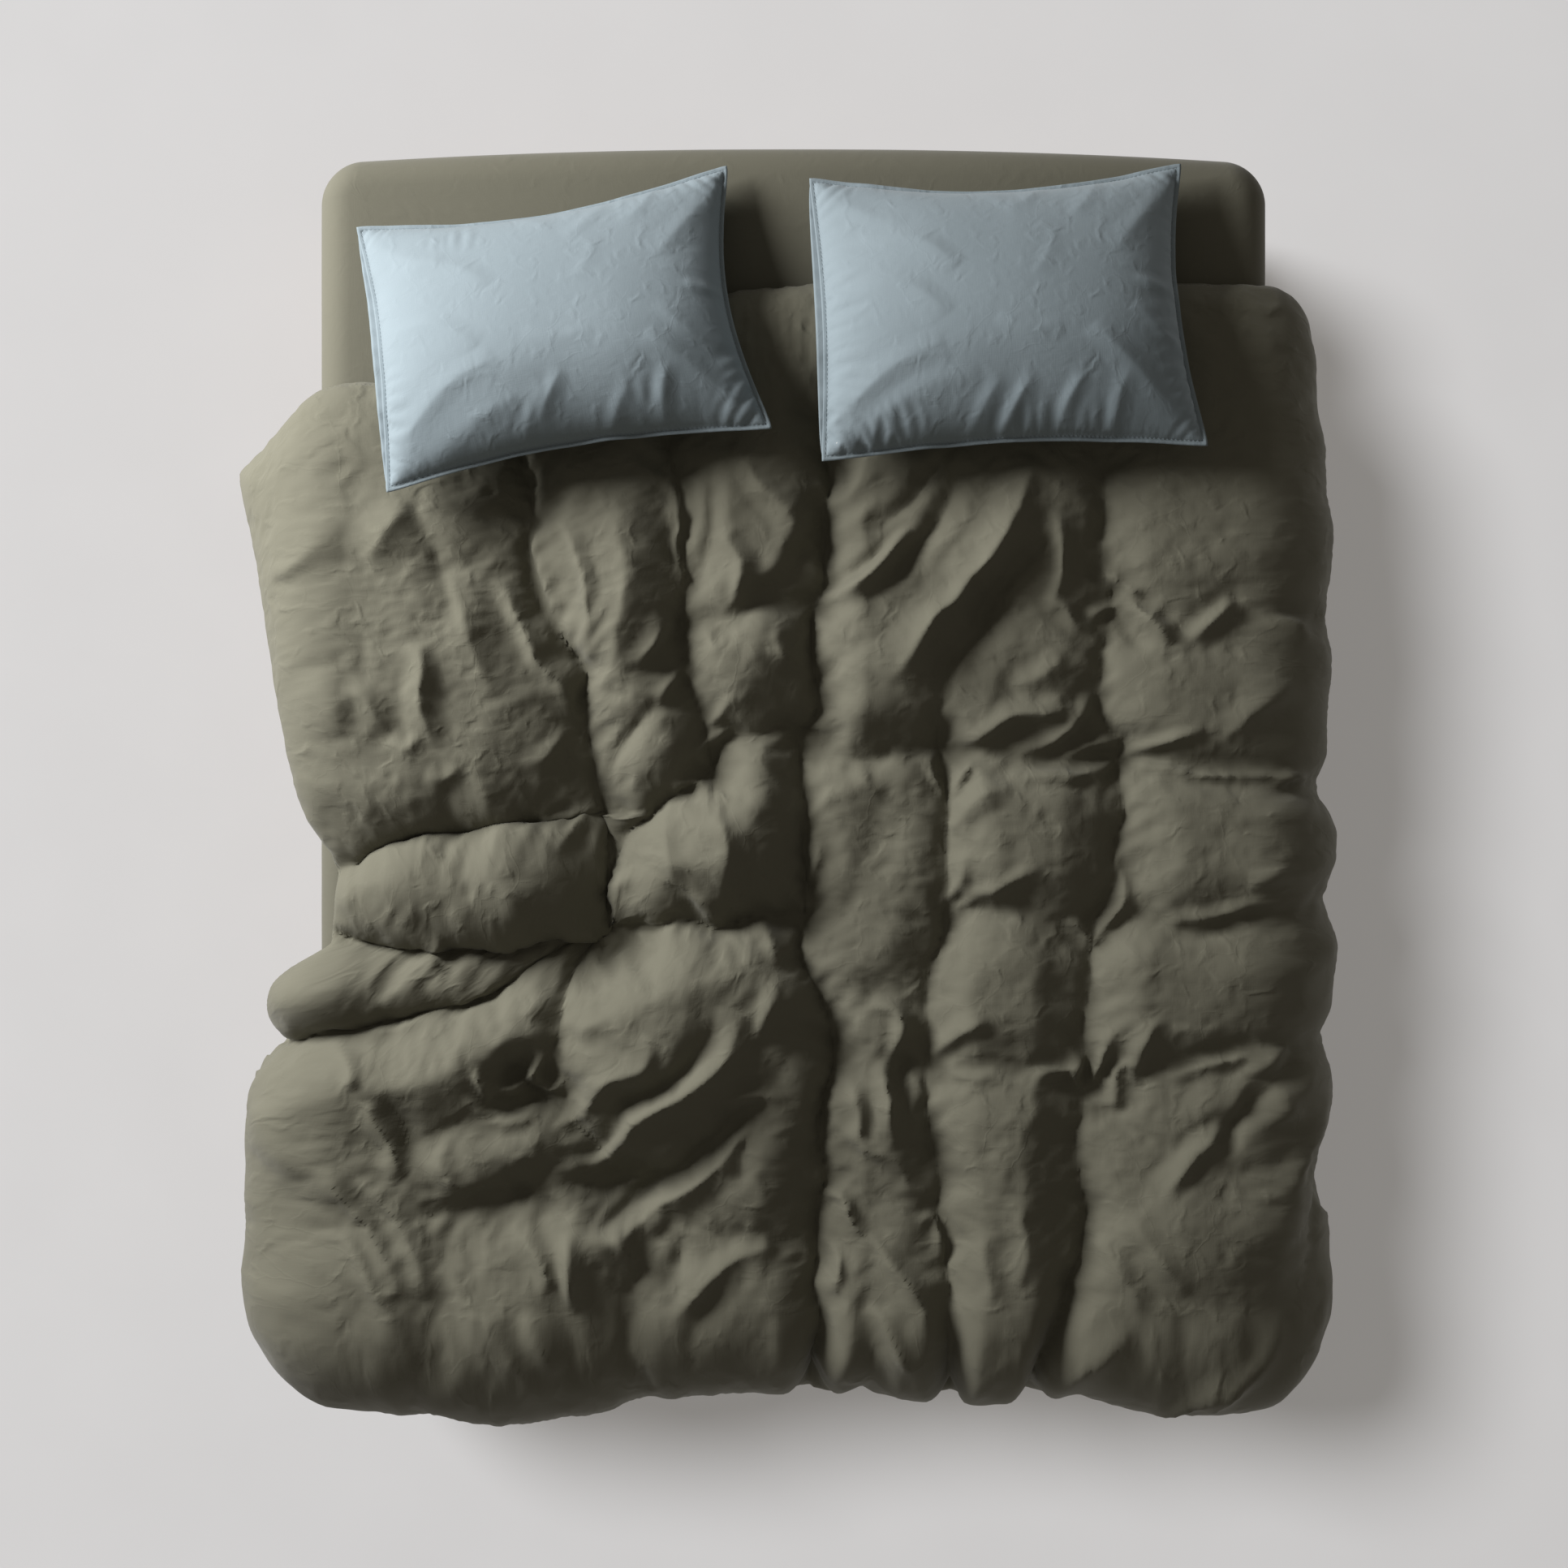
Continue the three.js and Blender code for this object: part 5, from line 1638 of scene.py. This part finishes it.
@dataclass(frozen=True)
class Slab:
    """A flat block with rounded corners in plan and rounded edges.

    Attributes:
        width: across the bed.
        length: along the bed.
        bottom: its underside's height.
        top: its top's height.
        corner: the radius of its corners in plan.
        upper: the radius of its upper edge.
        lower: the radius of its lower edge.
    """

    width: float
    length: float
    bottom: float
    top: float
    corner: float
    upper: float
    lower: float

    def outline(self, inset: Array, around: int) -> tuple[Array, Array]:
        """The plan outline at each inset: quarter turns of the corner radius less the inset, and straight sides.

        Past the corner radius the corners are square.

        Args:
            inset: how far inside the outline each ring lies.
            around: how many points a ring has.

        Returns:
            The points, a row for each inset, and their outward directions.
        """
        quarter = around // 4
        bend = quarter // 3
        turn = np.concatenate([np.linspace(0, 1, bend), np.ones(quarter - bend)])
        straight = np.concatenate([np.zeros(bend), np.linspace(0, 1, quarter - bend + 1)[1:]])
        inset = np.asarray(inset)[:, None]
        rows = []
        ways = []
        half_x, half_y = self.width / 2, self.length / 2
        corners = [(1, -1), (1, 1), (-1, 1), (-1, -1)]
        for k, (sx, sy) in enumerate(corners):
            angle = (k - 1) * math.pi / 2 + turn * math.pi / 2
            way = np.stack([np.cos(angle), np.sin(angle)], -1)[None]
            radius = np.maximum(self.corner - inset, 0)[..., None]
            reach_x, reach_y = np.maximum(half_x - np.maximum(inset, self.corner), 0), np.maximum(
                half_y - np.maximum(inset, self.corner), 0)
            centre = np.stack([sx * reach_x, sy * reach_y], -1)
            nx, ny = corners[(k + 1) % 4]
            after = np.stack([nx * reach_x, ny * reach_y], -1)
            rows.append(centre + (after - centre) * straight[None, :, None] + radius * way)
            ways.append(np.broadcast_to(way, rows[-1].shape))
        return np.concatenate(rows, 1), np.concatenate(ways, 1)

    def profile(self, turn_in: float, rings: int = 10) -> tuple[Array, Array]:
        """The wall from the middle of the top, over the edge and down, and in under the bottom.

        Args:
            turn_in: how far it goes in underneath; the whole half-width closes it.
            rings: how many rings each rounded edge has.

        Returns:
            The inset and the height of each ring.
        """
        a = np.linspace(0, math.pi / 2, rings)
        deep = min(self.width, self.length) / 2
        flat = deep - (deep - self.upper) * np.linspace(0, 1, 24) ** 0.7
        inset = [flat[:-1], self.upper * (1 - np.sin(a)), np.zeros(8), self.lower * (1 - np.cos(a)),
                 np.linspace(self.lower, max(turn_in, self.lower), 10)[1:]]
        wall = np.linspace(self.top - self.upper, self.bottom + self.lower, 10)[1:-1]
        height = [np.full(23, self.top), self.top - self.upper * (1 - np.cos(a)), wall,
                  self.bottom + self.lower * (1 - np.sin(a)), np.full(9, self.bottom)]
        return np.concatenate(inset), np.concatenate(height)

    def surface(self, turn_in: float, around: int = 360) -> tuple[Array, Array, Array]:
        """The slab's rings, from the middle of its top to its underside.

        Args:
            turn_in: how far it goes in underneath.
            around: how many points a ring has.

        Returns:
            The points, their outward directions in plan, and their flat places as length round and run down.
        """
        inset, height = self.profile(turn_in)
        plan, way = self.outline(inset, around)
        points = np.concatenate([plan, np.broadcast_to(height[:, None, None], (*plan.shape[:2], 1))], -1)
        run = np.concatenate([[0], np.cumsum(np.hypot(np.diff(inset), np.diff(height)))])
        rim = plan[np.argmin(inset)]
        girth = np.concatenate([[0], np.cumsum(np.linalg.norm(np.diff(rim, axis=0), axis=1))])
        flat = np.stack(np.broadcast_arrays(girth[None], run[:, None]), -1)
        return points, way, flat

    def faces(self, rings: int, around: int) -> Array:
        """Quads between neighbouring rings, closed round, that face outwards.

        Args:
            rings: how many rings there are.
            around: how many points each has.

        Returns:
            The points of each quad.
        """
        i, j = np.meshgrid(np.arange(rings - 1), np.arange(around), indexing="ij")
        after = (j + 1) % around
        return np.stack([i * around + j, (i + 1) * around + j, (i + 1) * around + after, i * around + after], -1
                        ).reshape(-1, 4)


def merge_doubles(piece: bpy.types.Object, distance: float = 1e-5) -> None:
    """Joins points that coincide and turns every face of the closed form outwards.

    Args:
        piece: the object.
        distance: how close two points are to be one.
    """
    mesh = bmesh.new()
    mesh.from_mesh(piece.data)
    bmesh.ops.remove_doubles(mesh, verts=mesh.verts, dist=distance)
    bmesh.ops.recalc_face_normals(mesh, faces=mesh.faces)
    mesh.to_mesh(piece.data)
    mesh.free()


@dataclass
class Mattress:
    """A foam mattress in quilted ticking under a fitted sheet.

    Attributes:
        head_draw: how far the sheet draws the head corners in.
        hem: how far the sheet turns in underneath.
    """

    head_draw: float = 0.026
    hem: float = 0.17

    def slab_of(self, node: str, shrink: float, corner: float, upper: float, lower: float) -> Slab:
        """A slab as big as a CAD node, less shrink on every side.

        Args:
            node: the node's name.
            shrink: how much smaller it is on each side.
            corner: the radius of its corners in plan.
            upper: the radius of its upper edge.
            lower: the radius of its lower edge.

        Returns:
            The slab.
        """
        low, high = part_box(node)
        size = np.subtract(high, low) - 2 * shrink
        return Slab(size[0], size[1], low[2] + shrink, high[2] - shrink, corner, upper, lower)

    def filled(self, name: str, slab: Slab, finish: bpy.types.Material, *nodes: str) -> bpy.types.Object:
        """A closed slab in place of CAD nodes.

        Args:
            name: the piece's name.
            slab: its shape.
            finish: its material.
            nodes: the nodes that it replaces.

        Returns:
            The new object.
        """
        points, _, flat = slab.surface(min(slab.width, slab.length) / 2)
        points[..., 1] -= self.bow(points)
        rings, around = points.shape[:2]
        made = build_piece(name, points.reshape(-1, 3), slab.faces(rings, around), flat.reshape(-1, 2))
        merge_doubles(made)
        dress(made, finish)
        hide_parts(*nodes)
        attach(made, "bed")
        return made

    def build(
        self,
        sheet: bpy.types.Material,
        foam: bpy.types.Material,
        ticking: bpy.types.Material,
        band: bpy.types.Material,
    ) -> None:
        """Makes the foam, the ticking, the fitted sheet and its elastic.

        Args:
            sheet: the sheet's cotton.
            foam: the core's and soft layer's foam.
            ticking: the mattress cover's knit.
            band: the elastic's weave.
        """
        for name, node, upper, lower in (
            ("mattress_foam_core", "mattress_core", 0.012, 0.03),
            ("mattress_soft_layer", "mattress_comfort_layer", 0.04, 0.004),
        ):
            self.filled(name, self.slab_of(node, 0.004, 0.067, upper, lower), foam, node)
        low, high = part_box("fitted_sheet")
        skin = Slab(high[0] - low[0] - 0.006, high[1] - low[1] - 0.006, low[2] + 0.005, high[2] - 0.003, 0.069, 0.057,
                    0.03)
        self.filled("mattress_quilted_ticking", skin, ticking, "mattress_ticking", "mattress_base_panel")
        cloth = Slab(high[0] - low[0], high[1] - low[1], low[2] + 0.0006, high[2] - 0.0006, 0.072, 0.058, 0.03)
        points, way, flat = cloth.surface(self.hem)
        points = self.ruffled(points, way, cloth)
        rings, around = points.shape[:2]
        piece = build_piece("fitted_sheet_cloth", points.reshape(-1, 3), cloth.faces(rings, around),
                            flat.reshape(-1, 2))
        self.close_top(piece)
        dress(piece, sheet)
        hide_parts("fitted_sheet")
        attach(piece, "bed")
        elastic = self.elastic(points[-1], way[-1])
        dress(elastic, band)
        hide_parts("fitted_sheet_elastic")
        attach(elastic, "bed")

    def bow(self, points: Array) -> Array:
        """How far the fitted sheet draws the head corners in, which leaves the head edge bowed out."""
        return self.head_draw * smooth(points[..., 1], 0.6, 1.0) * (np.abs(points[..., 0]) / 0.8) ** 2.2

    def close_top(self, piece: bpy.types.Object) -> None:
        """Joins the innermost ring, which has closed to a line.

        Args:
            piece: the sheet.
        """
        mesh = bmesh.new()
        mesh.from_mesh(piece.data)
        bmesh.ops.remove_doubles(mesh, verts=mesh.verts, dist=1e-5)
        mesh.to_mesh(piece.data)
        mesh.free()

    def ruffled(self, points: Array, way: Array, slab: Slab) -> Array:
        """Gathers the sheet towards its hem and draws its head corners in, so that the head edge bows out.

        Args:
            points: the sheet's rings.
            way: their outward directions in plan.
            slab: the sheet's shape.

        Returns:
            The gathered points.
        """
        rng = np.random.default_rng(5)
        made = points.copy()
        x, y, z = (points[..., k] for k in range(3))
        side = smooth(slab.top - z, 0.02, 0.2)
        girth = np.arctan2(y, x)
        slack = soft_noise_at(girth * 1.3, z * 0.4, 0.07, rng) * 0.0026 + soft_noise_at(girth, z, 0.2, rng) * 0.003
        slack = np.clip(np.where(slack < 0, 0.15 * slack, slack), -0.0015, 0.004)  # the ticking lies 3 mm inside
        made[..., 1] -= self.bow(points)
        made[..., :2] += (way * (slack * side)[..., None])
        return made

    def elastic(self, hem: Array, way: Array) -> bpy.types.Object:
        """A flat woven band that follows the hem: a 7 by 0.4 mm section carried round it.

        Args:
            hem: the hem's points.
            way: their outward directions in plan.

        Returns:
            The new object.
        """
        section = np.array([(-0.0035, 0.0), (0.0035, 0.0), (0.0035, 0.0004), (-0.0035, 0.0004)])
        inward = -np.pad(way, ((0, 0), (0, 1)))
        points = hem[None] + inward * (section[:, 0, None, None] + 0.0045) + section[:, 1, None, None] * [0, 0, 1]
        around = len(hem)
        i, j = np.meshgrid(np.arange(4), np.arange(around), indexing="ij")
        after, over = (j + 1) % around, (i + 1) % 4
        quads = np.stack([i * around + j, i * around + after, over * around + after, over * around + j], -1)
        made = build_piece("sheet_elastic", points.reshape(-1, 3), quads.reshape(-1, 4))
        merge_doubles(made, 1e-7)
        return made


# --- The base and the studio ---


@dataclass
class Base:
    """The oak base and the cover's buttons, which keep their shape and get softened edges.

    Attributes:
        bevel: the width of a board's softened edge.
        button_bevel: the same on a button.
        sharp: how far two faces turn, in degrees, before their edge is softened.
    """

    bevel: float = 0.002
    button_bevel: float = 0.0006
    sharp: float = 40.0

    def dress(self, nodes: dict[str, bpy.types.Object], resin: bpy.types.Material) -> None:
        """Gives the boards oiled oak with its grain along them, and the cover's buttons resin.

        Args:
            nodes: the CAD nodes, by name.
            resin: the buttons' finish.
        """
        oak = {grain: OiledOak(grain).material() for grain in Grain}
        boards = {
            "side_rail": Grain.ALONG,
            "centre_beam": Grain.ALONG,
            "foot_rail": Grain.ACROSS,
            "head_rail": Grain.ACROSS,
            "slat_": Grain.ACROSS,
            "leg_": Grain.UPRIGHT,
        }
        for name, node in nodes.items():
            grain = next((way for start, way in boards.items() if name.startswith(start)), None)
            wooden = grain is not None
            if not wooden and not name.startswith("cover_button"):
                continue
            dress(node, oak[grain] if wooden else resin)
            weld = node.modifiers.new("weld", "WELD")
            weld.merge_threshold = 1e-5
            bevel = node.modifiers.new("soft_edge", "BEVEL")
            bevel.width = self.bevel if wooden else self.button_bevel
            bevel.segments = 2
            bevel.limit_method = "ANGLE"
            bevel.angle_limit = math.radians(self.sharp)
            log.info("%s: dressed", name)


@dataclass
class Studio:
    """A pale floor, a large soft light from the upper left and a faint fill.

    Attributes:
        eye: where the camera is.
        view: its angle of view, in degrees.
        target: where the lamps point.
    """

    eye: tuple[float, float, float] = (-0.016, -0.076, 4.11)
    view: float = 39.9
    target: tuple[float, float, float] = (0.0, 0.0, 0.45)

    def camera(self) -> None:
        """Looks straight down, with the head of the bed at the top."""
        lens = bpy.data.cameras.new("overhead")
        lens.sensor_width = 36
        lens.angle = math.radians(self.view)
        made = bpy.data.objects.new("overhead", lens)
        made.location = self.eye
        bpy.context.scene.collection.objects.link(made)
        bpy.context.scene.camera = made

    def lamp(self, name: str, place: tuple[float, float, float], size: float, watts: float) -> bpy.types.Object:
        """A round soft lamp that faces the bed.

        Args:
            name: its name.
            place: where it is.
            size: its width.
            watts: its power.

        Returns:
            The new object.
        """
        light = bpy.data.lights.new(name, "AREA")
        light.shape = "DISK"
        light.size = size
        light.energy = watts
        made = bpy.data.objects.new(name, light)
        made.location = place
        made.rotation_euler = (Vector(place) - Vector(self.target)).to_track_quat("Z", "Y").to_euler()
        bpy.context.scene.collection.objects.link(made)
        return made

    def light(self) -> None:
        """A low window light on the bed, a higher one on the floor alone, and a dim even sky."""
        floor = self.floor()
        for name, place, size, watts, state in (
            ("window_on_bed", (-2.90, 1.70, 1.95), 1.8, 214, "EXCLUDE"),
            ("window_on_floor", (-12.5, 7.50, 18.5), 8.5, 6700, "INCLUDE"),
        ):
            lamp = self.lamp(name, place, size, watts)
            lit = bpy.data.collections.new(name)
            lit.objects.link(floor)
            lit.collection_objects[0].light_linking.link_state = state
            lamp.light_linking.receiver_collection = lit
        world = bpy.data.worlds.new("studio")
        world.use_nodes = True
        world.node_tree.nodes["Background"].inputs[0].default_value = linear("#dad3c9")
        world.node_tree.nodes["Background"].inputs[1].default_value = 0.20
        bpy.context.scene.world = world
        bpy.context.scene.view_settings.view_transform = "Standard"

    def floor(self) -> bpy.types.Object:
        """A plain pale floor, wide enough for the low views.

        Returns:
            The new object.
        """
        corners = np.array([(-9, -9, 0), (9, -9, 0), (9, 9, 0), (-9, 9, 0)], float)
        made = build_piece("studio_floor", corners, np.array([[0, 1, 2, 3]]))
        dress(made, PaintedPlaster().material())
        return made


def main() -> None:
    """Builds the bed, piece by piece, and reports each."""
    logging.basicConfig(level=logging.INFO, format="%(name)s: %(message)s")
    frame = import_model()
    studio = Studio()
    studio.camera()
    studio.light()
    olive = WashedCotton("washed_olive_percale", "#6a685a", "#737163", cut=(2.2, 2.2)).material()
    sheet = WashedCotton("washed_olive_sateen", "#676558", "#6c6a5d", crinkle=0.25).material()
    blue = WashedCotton(
        "washed_blue_percale", "#818d93", "#8a969c", crinkle=0.55, cut=(0.714, 0.514), inset_mm=8.5
    ).material()
    down = Knit("downproof_cotton", "#efece4", "#e2ded4", 2.0).material()
    ticking = Knit("quilted_ticking", "#e9e6de", "#d6d2c8", 3.0).material()
    foam = Knit("open_cell_foam", "#e6dcae", "#cfc48f", 1.5).material()
    band = Knit("woven_elastic", "#d9d6cf", "#bdb9b0", 1.0).material()
    Base().dress(frame["nodes"], PolishedResin().material())
    Mattress().build(sheet, foam, ticking, band)
    duvet = Duvet()
    duvet.build(olive, down)
    left = Pillow(Side.LEFT, (-0.380, 0.668), 9.3, 8, (0.304, 0.227), (0.017, 0.034, 0.024, 0.031), seed=21)
    right = Pillow(Side.RIGHT, (0.342, 0.693), 2.2, 7, (0.3, 0.238), (0.010, 0.028, 0.018, 0.032), seed=22)
    for pillow in (left, right):
        pillow.build(duvet, blue, down)


if __name__ == "__main__":
    main()
